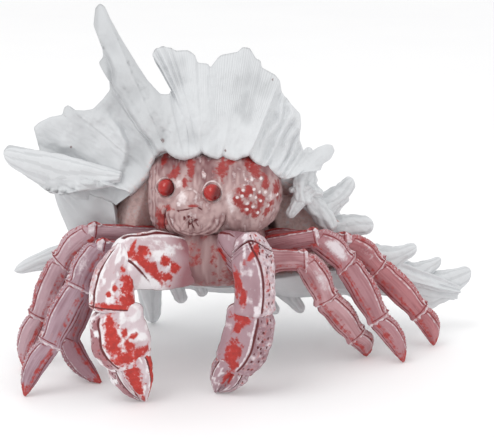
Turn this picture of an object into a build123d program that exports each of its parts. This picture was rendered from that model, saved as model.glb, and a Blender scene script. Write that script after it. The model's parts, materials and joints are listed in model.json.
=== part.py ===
"""Hermit crab ornament in cast, painted resin.

A crab looks out of the mouth of a spiny sea shell. The shell is a hollow casting. The crab's body is
a second casting whose abdomen sits on a boss inside the shell. Two claws and six walking legs are
glued to the body on steel dowels, and each limb is four castings that meet at the sculpted joints,
each with a cast peg in the socket of the one before it. Nothing moves.

Millimetres. +Z is up and the floor is Z = 0. The crab faces -Y, and left means -X, as seen from there.
"""

import os
from math import cos, radians, sin

from build123d import *

# Shell: a coil axis from the point of the spire to the end of the canal
SHELL_APEX = Vector(-111, 14, 105)
SHELL_CANAL_END = Vector(127, 42, 26)
SHELL_WALL = 5.0
SUTURES = [(0.0, 2.0), (16.0, 18.0), (34.0, 28.0), (56.0, 41.0)]  # along the axis, radius
WHORL_BULGE = 3.0
BODY_WHORL = [(56.0, 41.0), (84.0, 54.0), (110.0, 51.0), (142.0, 37.0), (176.0, 24.0), (212.0, 14.0)]
CANAL_RADIUS = 6.0

# Shell mouth: a hood that leans out over the crab's head
MOUTH_CENTRE = Vector(-11, 4, 82)
MOUTH_LEAN = 30.0
MOUTH_WIDTH = 142.0
MOUTH_HEIGHT = 106.0
MOUTH_TILT = 2.0
HOOD_BACK_CENTRE = Vector(-24, 34, 82)
HOOD_BACK_WIDTH = 112.0
HOOD_BACK_HEIGHT = 104.0

# Crest: a frilled plate that leans back from the hood's lip, its outline as X and Z
CREST_FOOT = Vector(0, -19, 118)
CREST_LEAN = 24.0
CREST_THICKNESS = 6.0
CREST_OUTLINE = [
    (31, 118), (29, 140), (22, 149), (17.5, 155), (16, 160), (8, 169), (4, 171), (1, 177), (-2, 178),
    (-8, 176), (-15, 173), (-20.5, 166), (-24, 169), (-28, 169), (-32, 175), (-45, 178), (-50, 177),
    (-52, 174), (-47.5, 167), (-41.5, 158), (-42, 151), (-48, 144), (-56, 118),
]

# Tall spike: a plate at the crest's left end, and the left fan: a plate that is turned a little to the left
SPIKE_FOOT = Vector(-40, -21, 118)
SPIKE_LEAN = 10.5
SPIKE_THICKNESS = 6.0
SPIKE_OUTLINE = [
    (-49, 118), (-75, 154), (-75, 161), (-81, 169), (-78, 172), (-78, 177), (-81, 184), (-82, 190),
    (-81, 199), (-78, 202), (-76, 200), (-74, 194), (-68, 184), (-61, 170), (-54, 160), (-47, 153),
    (-38, 150), (-30, 118),
]
LEFT_FAN_FOOT = Vector(-60, -14, 111)
LEFT_FAN_TURN = 7.0
LEFT_FAN_THICKNESS = 7.0
LEFT_FAN_OUTLINE = [
    (-62, 90), (-103, 95), (-115, 102), (-128, 113), (-133, 119), (-132, 124), (-124, 124), (-114, 121),
    (-117, 129), (-118, 133), (-108, 139), (-101, 140), (-98, 146), (-96, 143), (-84, 143), (-75, 154),
    (-46, 119),
]

# Spines: tip, station of the root along the axis, breadth at root and tip, thickness at root and tip, bow
SPINE_ROOT_DEPTH = 0.55  # share of the whorl's radius at which a spine starts
SPINE_WAIST = 0.5  # how far up a spine its middle section lies
SPINES = {
    "right_spine_1": (Vector(48, 8, 120), 150, 18, 7, 12, 6, -2),
    "right_spine_2": (Vector(61, 14, 98), 162, 18, 7, 12, 6, -2),
    "right_spine_3": (Vector(73, 20, 74), 174, 18, 7, 12, 6, -1),
    "canal_spine_1": (Vector(100, 33, 56), 202, 14, 6, 10, 5, -1),
    "canal_spine_2": (Vector(116, 40, 46), 226, 11, 5, 8, 4, -1),
    "canal_spine_3": (Vector(136, 44, 38), 240, 10, 6, 8, 5, -2),
    "left_tail": (Vector(-136, 20, 45), 62, 24, 6, 12, 6, -3),
    "belly_spike_1": (Vector(-37, 6, 27), 76, 14, 5, 10, 5, 0),
    "belly_spike_2": (Vector(-22, 6, 29), 92, 14, 5, 10, 5, 0),
    "belly_spike_3": (Vector(18, 12, 21), 124, 14, 5, 10, 5, 0),
    "belly_spike_4": (Vector(33, 20, 19), 140, 14, 5, 10, 5, 0),
    "rear_spike_1": (Vector(-62, 60, 152), 60, 18, 6, 12, 5, 3),
    "rear_spike_2": (Vector(-28, 70, 150), 86, 20, 6, 12, 5, 3),
    "rear_spike_3": (Vector(6, 78, 124), 112, 18, 6, 12, 5, 3),
    "rear_spike_4": (Vector(38, 70, 108), 138, 16, 6, 10, 5, 3),
    "rear_spike_5": (Vector(66, 68, 60), 168, 14, 5, 10, 5, 2),
    "rear_spike_6": (Vector(94, 64, 45), 198, 12, 5, 8, 4, 2),
    "rear_belly_spike_1": (Vector(2, 72, 32), 112, 16, 6, 10, 5, 0),
    "rear_belly_spike_2": (Vector(36, 66, 20), 140, 14, 5, 10, 5, 0),
    "rear_belly_spike_3": (Vector(70, 58, 14), 172, 12, 5, 8, 4, 0),
}
FOOT_SPIKE_TIP = Vector(-58, 57, 0)  # the one spine that reaches the floor
FOOT_SPIKE_STATION = 62.0
FOOT_SPIKE_BREADTHS = (22.0, 9.0)

# Crab body: a thorax with flat seats for the limbs, a domed head and an abdomen inside the shell
BODY_X = -18.0
THORAX_BOTTOM = 50.0
THORAX_HEIGHT = 34.0
THORAX_WIDTH = 53.0
THORAX_NOSE_WIDTH = 24.0
THORAX_NOSE_Y = -44.0
THORAX_SHOULDER_Y = -35.0
THORAX_REAR_Y = 14.0
THORAX_EDGE = 3.0
HEAD_CENTRE_Z = 100.0
HEAD_WIDTH = 76.0
HEAD_HEIGHT = 44.0
HEAD_STATIONS = [  # Y, share of the width, share of the height, lift of the centre
    (-46.0, 0.30, 0.34, -6.0),
    (-40.0, 0.62, 0.72, -3.0),
    (-22.0, 0.94, 0.96, 0.0),
    (0.0, 1.0, 1.0, 0.0),
    (18.0, 0.7, 0.74, -2.0),
]
ABDOMEN_Z = 67.0
ABDOMEN_LAP = 6.0
ABDOMEN_ROOT = (46.0, 30.0)
ABDOMEN_END = (26.0, 26.0)
BOSS_FACE_Y = 52.0
BOSS_RADIUS = 12.0

# Eyes: round beads in sockets on the face
EYE_RADIUS = 4.6
EYE_PLACES = {"left_eye": (-42.7, 108.0), "right_eye": (-19.0, 105.0)}
EYE_PROUD = 0.8
EYE_RIM = 1.6
EYE_STEM_RADIUS = 1.6
EYE_STEM_LENGTH = 9.0

# Fits
GLUE_GAP = 0.1
PEG_END_GAP = 0.5
DOWEL_RADIUS = 2.5
DOWEL_LENGTH = 16.0
DOWEL_GAP = 0.05
SHELL_DOWEL_RADIUS = 3.0
SHELL_DOWEL_LENGTH = 24.0
CLAW_SEGMENT_NAMES = ["upper_arm", "wrist", "palm"]
LEG_SEGMENT_NAMES = ["thigh", "knee", "shin", "toe"]

# Limbs: joints from the root's seat to the tip, each segment's breadth and depth, and its bow
LEG_PEG_RADIUS = 2.0
LEG_PEG_LENGTH = 5.0
CLAW_PEG_RADIUS = 3.0
CLAW_PEG_LENGTH = 7.0
LEG_ROOT_Y = {"front": -29.0, "middle": -17.0, "rear": -5.0}
LEG_ROOT_Z = {"front": 65.0, "middle": 68.0, "rear": 70.0}
LEG_BREADTHS = [12.5, 15.0, 15.0, 11.5]
LEG_DEPTHS = [9.6, 10.5, 10.0, 8.5]
LEG_BOWS = [1.0, 1.5, 1.0, 2.5]
KNEE_CLEARANCE = 4.0  # the left rear knee lies this far beyond the end of the shell's mouth
LEFT_REAR_KNEE_Y = -19.0
LEFT_REAR_KNEE_Z = 78.5
THIGH_RELIEF = 1.0  # the shell gives way to the left rear thigh by this much all round
LEGS = {
    "left_front_leg": [(-79, -42, 76), (-89, -50, 57.5), (-104, -58, 28.5), (-118, -60.5, 0)],
    "left_middle_leg": [(-76, -26, 68), (-87, -29, 49.5), (-98, -33, 22), (-79.5, -42.5, 0)],
    "left_rear_leg": [(-102, -17, 61), (-116, -18, 29.5), (-125.5, -19, 0)],  # knee: see the mouth
    "right_front_leg": [(31.5, -28, 65.5), (43.5, -20, 41), (62, -8, 15), (69, -2, 0)],
    "right_middle_leg": [(38.5, -17, 75), (55, -14, 59.5), (74, -13, 26.5), (89, -11.5, 0)],
    "right_rear_leg": [(57, -1, 67.5), (74, 3, 52), (100.5, 10, 22.5), (110, 15.5, 0)],
}
CLAW_ROOT_Z = 66.0
CLAW_BREADTHS = [24.0, 25.0, 29.0, 24.0]
CLAW_DEPTHS = [19.0, 18.0, 20.0, 16.0]
CLAW_BOWS = [1.5, 2.0, 1.5, 2.0]
LEFT_CLAW = [(-68, -62, 75), (-69.5, -69, 52), (-64, -70, 23.5), (-57.5, -67, 0)]
RIGHT_CLAW = [(1.5, -53, 79), (6, -63, 47.5), (-3.5, -59, 15.5), (-15, -55, 0)]
RIGHT_CLAW_SADDLE = Vector(0.5, -8.5, 11)  # the wrist's own axis starts this far from the elbow joint
FINGER_GAP = 0.4
SECTION_STATIONS = [0.0, 0.35, 0.72, 1.0]
SEGMENT_SWELL = [0.74, 1.0, 0.96, 0.78]  # share of the breadth and depth at each station
TOE_SWELL = [0.8, 1.0, 0.66, 0.3]
JOINT_OVERRUN = 14.0  # a segment's loft runs past its joints and is cut back to them
TIP_OVERRUN = 3.0

os.makedirs("parts", exist_ok=True)


def finish(part, name):
    """Labels a finished piece and writes it."""
    part.label = name
    export_step(part, f"parts/{name}.step")


# Shell geometry that other pieces take their places from

shell_direction = (SHELL_CANAL_END - SHELL_APEX).normalized()
shell_length = (SHELL_CANAL_END - SHELL_APEX).length
shell_plane = Plane(origin=SHELL_APEX, x_dir=shell_direction, z_dir=shell_direction.cross(Vector(0, 1, 0)))
shell_axis = Axis(SHELL_APEX, shell_direction)
body_profile = [*BODY_WHORL, (shell_length, CANAL_RADIUS)]
mouth_plane = Plane(
    origin=MOUTH_CENTRE,
    x_dir=(cos(radians(MOUTH_TILT)), 0, -sin(radians(MOUTH_TILT))),
    z_dir=(0, -cos(radians(MOUTH_LEAN)), -sin(radians(MOUTH_LEAN))),
)
hood_plane = Plane(origin=HOOD_BACK_CENTRE, x_dir=mouth_plane.x_dir, z_dir=mouth_plane.z_dir)


def whorl_radius(station):
    """The shell's radius at a distance along its axis, straight between the profile's points."""
    profile = [*SUTURES[:-1], *body_profile]
    for (start, first), (end, last) in zip(profile, profile[1:]):
        if station <= end:
            return first + (last - first) * (station - start) / (end - start)
    return CANAL_RADIUS


def spine_root(tip, station):
    """A point inside the whorl, on the side of the axis that faces the spine's tip."""
    on_axis = SHELL_APEX + shell_direction * station
    outward = tip - on_axis
    outward = (outward - shell_direction * outward.dot(shell_direction)).normalized()
    return on_axis + outward * (whorl_radius(station) * SPINE_ROOT_DEPTH)


def spine_sections(tip, station, breadths, depths, bow):
    """Planes and ellipse sizes of a spine's root, waist and tip, its breadth running along the shell."""
    root = spine_root(tip, station)
    along = (tip - root).normalized()
    across = (shell_direction - along * shell_direction.dot(along)).normalized()
    waist = root + (tip - root) * SPINE_WAIST + across * bow
    planes = [Plane(origin=point, x_dir=across, z_dir=along) for point in (root, waist, tip)]
    middle = [sum(breadths) / 2, sum(depths) / 2]
    return list(zip(planes, [breadths[0], middle[0], breadths[1]], [depths[0], middle[1], depths[1]]))


def elliptical_loft(sections, mode=Mode.ADD):
    """Lofts ellipses of a breadth and a depth on their planes, inside the part that is being built."""
    outlines = []
    for plane, breadth, depth in sections:
        with BuildSketch(plane) as outline:
            Ellipse(breadth / 2, depth / 2)
        outlines.append(outline.sketch)
    return loft(outlines, mode=mode)


def frill_plate(foot, lean, turn, thickness, outline):
    """Adds a plate that leans back and is turned to the left by two angles, its outline as X and Z."""
    across = Vector(cos(radians(turn)), -sin(radians(turn)), 0)
    level_front = across.cross(Vector(0, 0, 1))
    front = level_front * cos(radians(lean)) + Vector(0, 0, sin(radians(lean)))
    with BuildSketch(Plane(origin=foot, x_dir=across, z_dir=front)) as plate:
        with BuildLine():
            stretch = 1 / cos(radians(turn))
            rise = 1 / cos(radians(lean))
            Polyline(*[((x - foot.X) * stretch, (z - foot.Z) * rise) for x, z in outline], close=True)
        make_face()
    extrude(plate.sketch, amount=-thickness)


def segment_sections(start, end, flat_side, breadth, depth, bow, swell, overruns):
    """Ellipses square to a straight segment, with the end ones carried on past its joints."""
    along = (end - start).normalized()
    flat_side = (flat_side - along * flat_side.dot(along)).normalized()
    bulge_side = flat_side.cross(along)
    sections = []
    for station, share in zip(SECTION_STATIONS, swell):
        place = start + (end - start) * station + bulge_side * (4 * bow * station * (1 - station))
        if station == 0.0:
            place = place - along * overruns[0]
        if station == 1.0:
            place = place + along * overruns[1]
        plane = Plane(origin=place, x_dir=bulge_side, z_dir=along)
        sections.append((plane, breadth * share, depth * share))
    return sections


def limb_side(points):
    """The normal of the plane that a limb bends in."""
    return (points[1] - points[0]).cross(points[3] - points[1]).normalized()


# The left rear thigh runs out past the end of the shell's mouth, and its knee lies beyond it

left_rear_hip = Vector(BODY_X - THORAX_WIDTH / 2, LEG_ROOT_Y["rear"], LEG_ROOT_Z["rear"])
left_rear_knee = (MOUTH_CENTRE.X - MOUTH_WIDTH / 2 - KNEE_CLEARANCE, LEFT_REAR_KNEE_Y, LEFT_REAR_KNEE_Z)
LEGS["left_rear_leg"].insert(0, left_rear_knee)
left_rear_points = [left_rear_hip, *[Vector(*joint) for joint in LEGS["left_rear_leg"]]]

# Shell casting

boss_centre = Vector(BODY_X, BOSS_FACE_Y, ABDOMEN_Z)
boss_plane = Plane(origin=boss_centre, x_dir=(1, 0, 0), z_dir=(0, 1, 0))
with BuildPart() as cavity:
    with BuildSketch(shell_plane):
        with BuildLine():
            wall_line = [(s, r - SHELL_WALL) for s, r in BODY_WHORL[:-1]]
            Spline(*wall_line)
            Polyline(wall_line[-1], (wall_line[-1][0], 0), (wall_line[0][0], 0), wall_line[0])
        make_face()
    revolve(axis=shell_axis)
    inner_sections = [
        (mouth_plane, MOUTH_WIDTH - 2 * SHELL_WALL, MOUTH_HEIGHT - 2 * SHELL_WALL),
        (hood_plane, HOOD_BACK_WIDTH - 2 * SHELL_WALL, HOOD_BACK_HEIGHT - 2 * SHELL_WALL),
    ]
    elliptical_loft(inner_sections)
    with BuildSketch(mouth_plane):
        Ellipse(MOUTH_WIDTH / 2 - SHELL_WALL, MOUTH_HEIGHT / 2 - SHELL_WALL)
    extrude(amount=MOUTH_HEIGHT, dir=(0, -1, 0))
    with BuildSketch(boss_plane):
        Circle(BOSS_RADIUS)
    extrude(amount=2 * whorl_radius(BODY_WHORL[1][0]), mode=Mode.SUBTRACT)

with BuildPart() as shell:
    with BuildSketch(shell_plane):
        with BuildLine():
            for (start, first), (end, last) in zip(SUTURES, SUTURES[1:]):
                crown = ((start + end) / 2, (first + last) / 2 + WHORL_BULGE)
                ThreePointArc((start, first), crown, (end, last))
            Spline(*body_profile)
            Polyline(body_profile[-1], (shell_length, 0), (0, 0), SUTURES[0])
        make_face()
    revolve(axis=shell_axis)
    hood_sections = [
        (mouth_plane, MOUTH_WIDTH, MOUTH_HEIGHT),
        (hood_plane, HOOD_BACK_WIDTH, HOOD_BACK_HEIGHT),
    ]
    elliptical_loft(hood_sections)
    frill_plate(CREST_FOOT, CREST_LEAN, 0, CREST_THICKNESS, CREST_OUTLINE)
    frill_plate(SPIKE_FOOT, SPIKE_LEAN, 0, SPIKE_THICKNESS, SPIKE_OUTLINE)
    frill_plate(LEFT_FAN_FOOT, 0, LEFT_FAN_TURN, LEFT_FAN_THICKNESS, LEFT_FAN_OUTLINE)
    spines = []
    for tip, station, root_breadth, tip_breadth, root_depth, tip_depth, bow in SPINES.values():
        sections = spine_sections(tip, station, (root_breadth, tip_breadth), (root_depth, tip_depth), bow)
        spines.append(elliptical_loft(sections, mode=Mode.PRIVATE))
    foot_way = (FOOT_SPIKE_TIP - spine_root(FOOT_SPIKE_TIP, FOOT_SPIKE_STATION)).normalized()
    foot_end = FOOT_SPIKE_TIP + foot_way * TIP_OVERRUN
    foot_sections = spine_sections(foot_end, FOOT_SPIKE_STATION, FOOT_SPIKE_BREADTHS, FOOT_SPIKE_BREADTHS, 0)
    spines.append(elliptical_loft(foot_sections, mode=Mode.PRIVATE))
    add(spines)
    split(bisect_by=Plane.XY, keep=Keep.TOP)
    add(cavity.part, mode=Mode.SUBTRACT)
    relief_sections = segment_sections(
        left_rear_points[0],
        left_rear_points[1],
        limb_side(left_rear_points),
        LEG_BREADTHS[0] + 2 * THIGH_RELIEF,
        LEG_DEPTHS[0] + 2 * THIGH_RELIEF,
        LEG_BOWS[0],
        SEGMENT_SWELL,
        (JOINT_OVERRUN, JOINT_OVERRUN),
    )
    elliptical_loft(relief_sections, mode=Mode.SUBTRACT)
    with BuildSketch(boss_plane):
        Circle(SHELL_DOWEL_RADIUS + DOWEL_GAP)
    extrude(amount=SHELL_DOWEL_LENGTH / 2 + PEG_END_GAP, mode=Mode.SUBTRACT)
finish(shell.part, "shell")

# Limb joints: the plane at each joint leans halfway between the two segments that meet there


def joint_planes(points, root_normal):
    """One plane at each joint, its normal pointing on towards the tip."""
    ways = [(end - start).normalized() for start, end in zip(points, points[1:])]
    normals = [root_normal]
    for before, after in zip(ways, ways[1:]):
        normals.append((before + after).normalized())
    return [Plane(origin=point, z_dir=normal) for point, normal in zip(points, normals)]


def bored(plane, radius, depth):
    """Takes a blind round hole out of the part being built, from a plane along its normal."""
    with BuildSketch(plane) as bore:
        Circle(radius)
    extrude(bore.sketch, amount=depth, mode=Mode.SUBTRACT)


def pegged(plane, radius, length):
    """Adds a round peg to the part being built, from a plane along its normal."""
    with BuildSketch(plane) as peg:
        Circle(radius)
    extrude(peg.sketch, amount=length)


def backwards(plane):
    """The same plane with its normal turned round."""
    return Plane(origin=plane.origin, x_dir=plane.x_dir, z_dir=-plane.z_dir)


def make_leg(name, points, root_normal):
    """Four castings from the thorax to the floor."""
    planes = joint_planes(points, root_normal)
    side = limb_side(points)
    for index, segment_name in enumerate(LEG_SEGMENT_NAMES):
        is_root = index == 0
        is_toe = index == len(LEG_SEGMENT_NAMES) - 1
        swell = TOE_SWELL if is_toe else SEGMENT_SWELL
        overruns = (JOINT_OVERRUN, TIP_OVERRUN if is_toe else JOINT_OVERRUN)
        with BuildPart() as segment:
            sections = segment_sections(
                points[index],
                points[index + 1],
                side,
                LEG_BREADTHS[index],
                LEG_DEPTHS[index],
                LEG_BOWS[index],
                swell,
                overruns,
            )
            elliptical_loft(sections)
            split(bisect_by=planes[index], keep=Keep.TOP)
            if is_toe:
                split(bisect_by=Plane.XY, keep=Keep.TOP)
            else:
                split(bisect_by=planes[index + 1], keep=Keep.BOTTOM)
                bored(backwards(planes[index + 1]), LEG_PEG_RADIUS + GLUE_GAP, LEG_PEG_LENGTH + PEG_END_GAP)
            if is_root:
                bored(planes[index], DOWEL_RADIUS + DOWEL_GAP, DOWEL_LENGTH / 2 + PEG_END_GAP)
            else:
                pegged(backwards(planes[index]), LEG_PEG_RADIUS, LEG_PEG_LENGTH)
        finish(segment.part, f"{name}_{segment_name}")


def make_claw(name, points, root_normal, saddle):
    """Four castings from the thorax to the tip; the palm carries the fixed half of the pincer."""
    planes = joint_planes(points, root_normal)
    if saddle.length > 0:
        planes[1] = Plane(origin=points[1], z_dir=(0, -1, 0))
    side = limb_side(points)
    starts = [points[0], points[1] + saddle, points[2]]
    finger_way = (points[4] - points[3]).normalized()
    parting = Plane(origin=points[3], z_dir=side.cross(finger_way))
    knuckle_normal = planes[3].z_dir
    sideways = (parting.z_dir - knuckle_normal * knuckle_normal.dot(parting.z_dir)).normalized()
    knuckle_place = points[3] + sideways * (CLAW_BREADTHS[3] * TOE_SWELL[0] / 4)
    knuckle = Plane(origin=knuckle_place, z_dir=-knuckle_normal)
    pincer_sections = segment_sections(
        points[3],
        points[4],
        side,
        CLAW_BREADTHS[3],
        CLAW_DEPTHS[3],
        CLAW_BOWS[3],
        TOE_SWELL,
        (JOINT_OVERRUN, TIP_OVERRUN),
    )
    with BuildPart() as finger:
        elliptical_loft(pincer_sections)
        split(bisect_by=Plane.XY, keep=Keep.TOP)
        split(bisect_by=planes[3], keep=Keep.TOP)
        split(bisect_by=parting.offset(FINGER_GAP / 2), keep=Keep.TOP)
        pegged(knuckle, LEG_PEG_RADIUS, LEG_PEG_LENGTH)
    finish(finger.part, f"{name}_finger")
    with BuildPart() as fixed_finger:
        elliptical_loft(pincer_sections)
        split(bisect_by=Plane.XY, keep=Keep.TOP)
        split(bisect_by=planes[3], keep=Keep.TOP)
        split(bisect_by=parting.offset(-FINGER_GAP / 2), keep=Keep.BOTTOM)
    for index, segment_name in enumerate(CLAW_SEGMENT_NAMES):
        on_saddle = index == 1 and saddle.length > 0
        with BuildPart() as segment:
            sections = segment_sections(
                starts[index],
                points[index + 1],
                side,
                CLAW_BREADTHS[index],
                CLAW_DEPTHS[index],
                CLAW_BOWS[index],
                SEGMENT_SWELL,
                (0 if on_saddle else JOINT_OVERRUN, JOINT_OVERRUN),
            )
            elliptical_loft(sections)
            split(bisect_by=planes[index], keep=Keep.TOP)
            split(bisect_by=planes[index + 1], keep=Keep.BOTTOM)
            if segment_name == "palm":
                add(fixed_finger.part)
                bored(knuckle, LEG_PEG_RADIUS + GLUE_GAP, LEG_PEG_LENGTH + PEG_END_GAP)
            else:
                bored(backwards(planes[index + 1]), CLAW_PEG_RADIUS + GLUE_GAP, CLAW_PEG_LENGTH + PEG_END_GAP)
            if index == 0:
                bored(planes[index], DOWEL_RADIUS + DOWEL_GAP, DOWEL_LENGTH / 2 + PEG_END_GAP)
            else:
                pegged(backwards(planes[index]), CLAW_PEG_RADIUS, CLAW_PEG_LENGTH)
        finish(segment.part, f"{name}_{segment_name}")


# Seats of the limbs on the thorax: the legs on its flat sides, the claws on its slanted shoulders

half_width = THORAX_WIDTH / 2
half_nose = THORAX_NOSE_WIDTH / 2
shoulder_normal = Vector(THORAX_SHOULDER_Y - THORAX_NOSE_Y, half_nose - half_width, 0).normalized()
shoulder_x = (half_width + half_nose) / 2
shoulder_y = (THORAX_SHOULDER_Y + THORAX_NOSE_Y) / 2
sides = {"left": -1, "right": 1}
root_planes = []

for name, joints in LEGS.items():
    side_name, row, _ = name.split("_")
    outward = Vector(sides[side_name], 0, 0)
    root = Vector(BODY_X, LEG_ROOT_Y[row], LEG_ROOT_Z[row]) + outward * half_width
    root_planes.append(Plane(origin=root, z_dir=outward))
    make_leg(name, [root, *[Vector(*joint) for joint in joints]], outward)

for side_name, joints, saddle in [
    ("left", LEFT_CLAW, Vector(0, 0, 0)),
    ("right", RIGHT_CLAW, RIGHT_CLAW_SADDLE),
]:
    outward = Vector(sides[side_name] * shoulder_normal.X, shoulder_normal.Y, 0)
    root = Vector(BODY_X + sides[side_name] * shoulder_x, shoulder_y, CLAW_ROOT_Z)
    root_planes.append(Plane(origin=root, z_dir=outward))
    make_claw(f"{side_name}_claw", [root, *[Vector(*joint) for joint in joints]], outward, saddle)

# Body casting: thorax, head and abdomen in one


def across_body(y, z):
    """A plane square to the body's length, centred on the body."""
    return Plane(origin=(BODY_X, y, z), x_dir=(1, 0, 0), z_dir=(0, 1, 0))


with BuildPart() as crab_body:
    with BuildSketch(Plane.XY.offset(THORAX_BOTTOM)):
        with BuildLine():
            half_outline = [
                (half_width, THORAX_REAR_Y),
                (half_width, THORAX_SHOULDER_Y),
                (half_nose, THORAX_NOSE_Y),
            ]
            right_half = [(BODY_X + x, y) for x, y in half_outline]
            left_half = [(BODY_X - x, y) for x, y in reversed(half_outline)]
            Polyline(*right_half, *left_half, close=True)
        make_face()
    extrude(amount=THORAX_HEIGHT)
    fillet(faces().sort_by(Axis.Z)[0].edges(), THORAX_EDGE)
    head_sections = [
        (across_body(y, HEAD_CENTRE_Z + lift), HEAD_WIDTH * breadth, HEAD_HEIGHT * height)
        for y, breadth, height, lift in HEAD_STATIONS
    ]
    elliptical_loft(head_sections)
    abdomen_sections = [
        (across_body(THORAX_REAR_Y - ABDOMEN_LAP, ABDOMEN_Z), *ABDOMEN_ROOT),
        (across_body(BOSS_FACE_Y, ABDOMEN_Z), *ABDOMEN_END),
    ]
    elliptical_loft(abdomen_sections)
    eye_planes = {}
    for name, (x, z) in EYE_PLACES.items():
        sight_line = Axis((x, THORAX_NOSE_Y - HEAD_WIDTH, z), (0, 1, 0))
        hits = crab_body.part.find_intersection_points(sight_line)
        face_point, face_normal = min(hits, key=lambda hit: hit[0].Y)
        eye_planes[name] = Plane(origin=face_point + face_normal * EYE_PROUD, z_dir=face_normal)
    for plane in eye_planes.values():
        pegged(backwards(plane), EYE_RADIUS + EYE_RIM, 2 * EYE_RADIUS)
    for plane in eye_planes.values():
        with Locations(plane):
            Sphere(EYE_RADIUS + GLUE_GAP, mode=Mode.SUBTRACT)
        bored(backwards(plane), EYE_STEM_RADIUS + GLUE_GAP, EYE_STEM_LENGTH + PEG_END_GAP)
    for plane in root_planes:
        bored(backwards(plane), DOWEL_RADIUS + DOWEL_GAP, DOWEL_LENGTH / 2 + PEG_END_GAP)
    bored(backwards(boss_plane), SHELL_DOWEL_RADIUS + DOWEL_GAP, SHELL_DOWEL_LENGTH / 2 + PEG_END_GAP)
finish(crab_body.part, "crab_body")

# Eyes

for name, plane in eye_planes.items():
    with BuildPart(plane) as eye:
        Sphere(EYE_RADIUS)
        pegged(backwards(plane), EYE_STEM_RADIUS, EYE_STEM_LENGTH)
    finish(eye.part, name)

# Steel dowels: one in each limb's seat, and a thicker one between the abdomen and the shell's boss

with BuildPart() as limb_dowels:
    for plane in root_planes:
        pegged(plane.offset(-DOWEL_LENGTH / 2), DOWEL_RADIUS, DOWEL_LENGTH)
finish(limb_dowels.part, "limb_dowels")

with BuildPart() as shell_dowel:
    pegged(boss_plane.offset(-SHELL_DOWEL_LENGTH / 2), SHELL_DOWEL_RADIUS, SHELL_DOWEL_LENGTH)
finish(shell_dowel.part, "shell_dowel")
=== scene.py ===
# %% [markdown]
# # A hermit crab looks out of a spiny shell
#
# The object is a painted resin ornament: a white, frilled sea shell with a crab in its mouth. The crab
# stands on two claws and six walking legs. The measured castings are loaded first, and each of them is
# then dressed with the sculpted surface that the real casting shows.

# %% Load the measured castings
import json

import bpy
import numpy as np
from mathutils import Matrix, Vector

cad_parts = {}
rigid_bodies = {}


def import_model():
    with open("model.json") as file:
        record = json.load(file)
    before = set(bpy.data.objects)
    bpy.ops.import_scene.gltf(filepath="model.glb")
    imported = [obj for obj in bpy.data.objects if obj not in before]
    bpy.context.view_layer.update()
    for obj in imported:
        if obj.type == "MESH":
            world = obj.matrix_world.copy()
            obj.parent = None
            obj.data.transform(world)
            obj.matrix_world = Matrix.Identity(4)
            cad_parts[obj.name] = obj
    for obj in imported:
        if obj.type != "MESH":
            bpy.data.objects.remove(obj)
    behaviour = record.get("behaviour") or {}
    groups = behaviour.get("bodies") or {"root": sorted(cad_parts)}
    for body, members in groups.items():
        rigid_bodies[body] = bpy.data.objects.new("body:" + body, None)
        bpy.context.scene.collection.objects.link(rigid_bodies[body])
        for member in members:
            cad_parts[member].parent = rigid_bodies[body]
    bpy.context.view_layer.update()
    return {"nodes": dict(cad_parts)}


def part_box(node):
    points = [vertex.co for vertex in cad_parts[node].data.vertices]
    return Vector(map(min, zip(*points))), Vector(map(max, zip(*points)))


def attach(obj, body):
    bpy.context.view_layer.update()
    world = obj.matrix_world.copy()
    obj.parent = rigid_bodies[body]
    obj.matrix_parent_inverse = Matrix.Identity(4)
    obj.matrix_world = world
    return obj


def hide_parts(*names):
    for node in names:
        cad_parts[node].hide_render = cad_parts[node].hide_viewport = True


for leftover in list(bpy.data.objects):
    bpy.data.objects.remove(leftover)
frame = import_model()
scene = bpy.context.scene
MM = 0.001
print("castings loaded:", len(frame["nodes"]))

# %% [markdown]
# ## Curves and roughness
#
# A modeller's hand leaves smooth swellings, small beads and an uneven skin. They could be sculpted with
# brushes. Formulas are used here, because every bump then stays a number that can be changed. Three kinds
# are enough: a smooth curve through chosen values, a soft random height, and scattered round beads.

# %% Curves


def ease(x):
    """Smooth step: 0 up to 0, 1 from 1 on, and 3x2 - 2x3 between them."""
    x = np.clip(x, 0, 1)
    return x * x * (3 - 2 * x)


def flowing(x, stations, values):
    """A curve through values at stations: cubic pieces that share the mean slope at each station."""
    s = np.asarray(stations, float)
    v = np.asarray(values, float)
    slope = np.gradient(v, s)
    x = np.clip(x, s[0], s[-1])
    i = np.clip(np.searchsorted(s, x, side="right") - 1, 0, len(s) - 2)
    h = s[i + 1] - s[i]
    t = (x - s[i]) / h
    rise = (1 + 2 * t) * (1 - t) ** 2 * v[i] + t * t * (3 - 2 * t) * v[i + 1]
    return rise + h * (t * (1 - t) ** 2 * slope[i] + t * t * (t - 1) * slope[i + 1])


def hump(x, middle, width):
    """A bell: 1 at the middle, falling off with the square of the distance over the width."""
    return np.exp(-(((x - middle) / width) ** 2))


def strongest(*heights):
    """The highest of several values at each point."""
    top = heights[0]
    for height in heights[1:]:
        top = np.maximum(top, height)
    return top

# %% Random heights and beads


def rough(x, y, seed):
    """Random height from -1 to 1: chance values at whole numbers, eased between the four corners."""
    table = np.random.default_rng(seed).uniform(-1, 1, (64, 64))
    xi = np.floor(x).astype(int)
    yi = np.floor(y).astype(int)
    fx = ease(x - xi)
    fy = ease(y - yi)
    near = table[xi % 64, yi % 64] * (1 - fx) + table[(xi + 1) % 64, yi % 64] * fx
    far = table[xi % 64, (yi + 1) % 64] * (1 - fx) + table[(xi + 1) % 64, (yi + 1) % 64] * fx
    return near * (1 - fy) + far * fy


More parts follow.
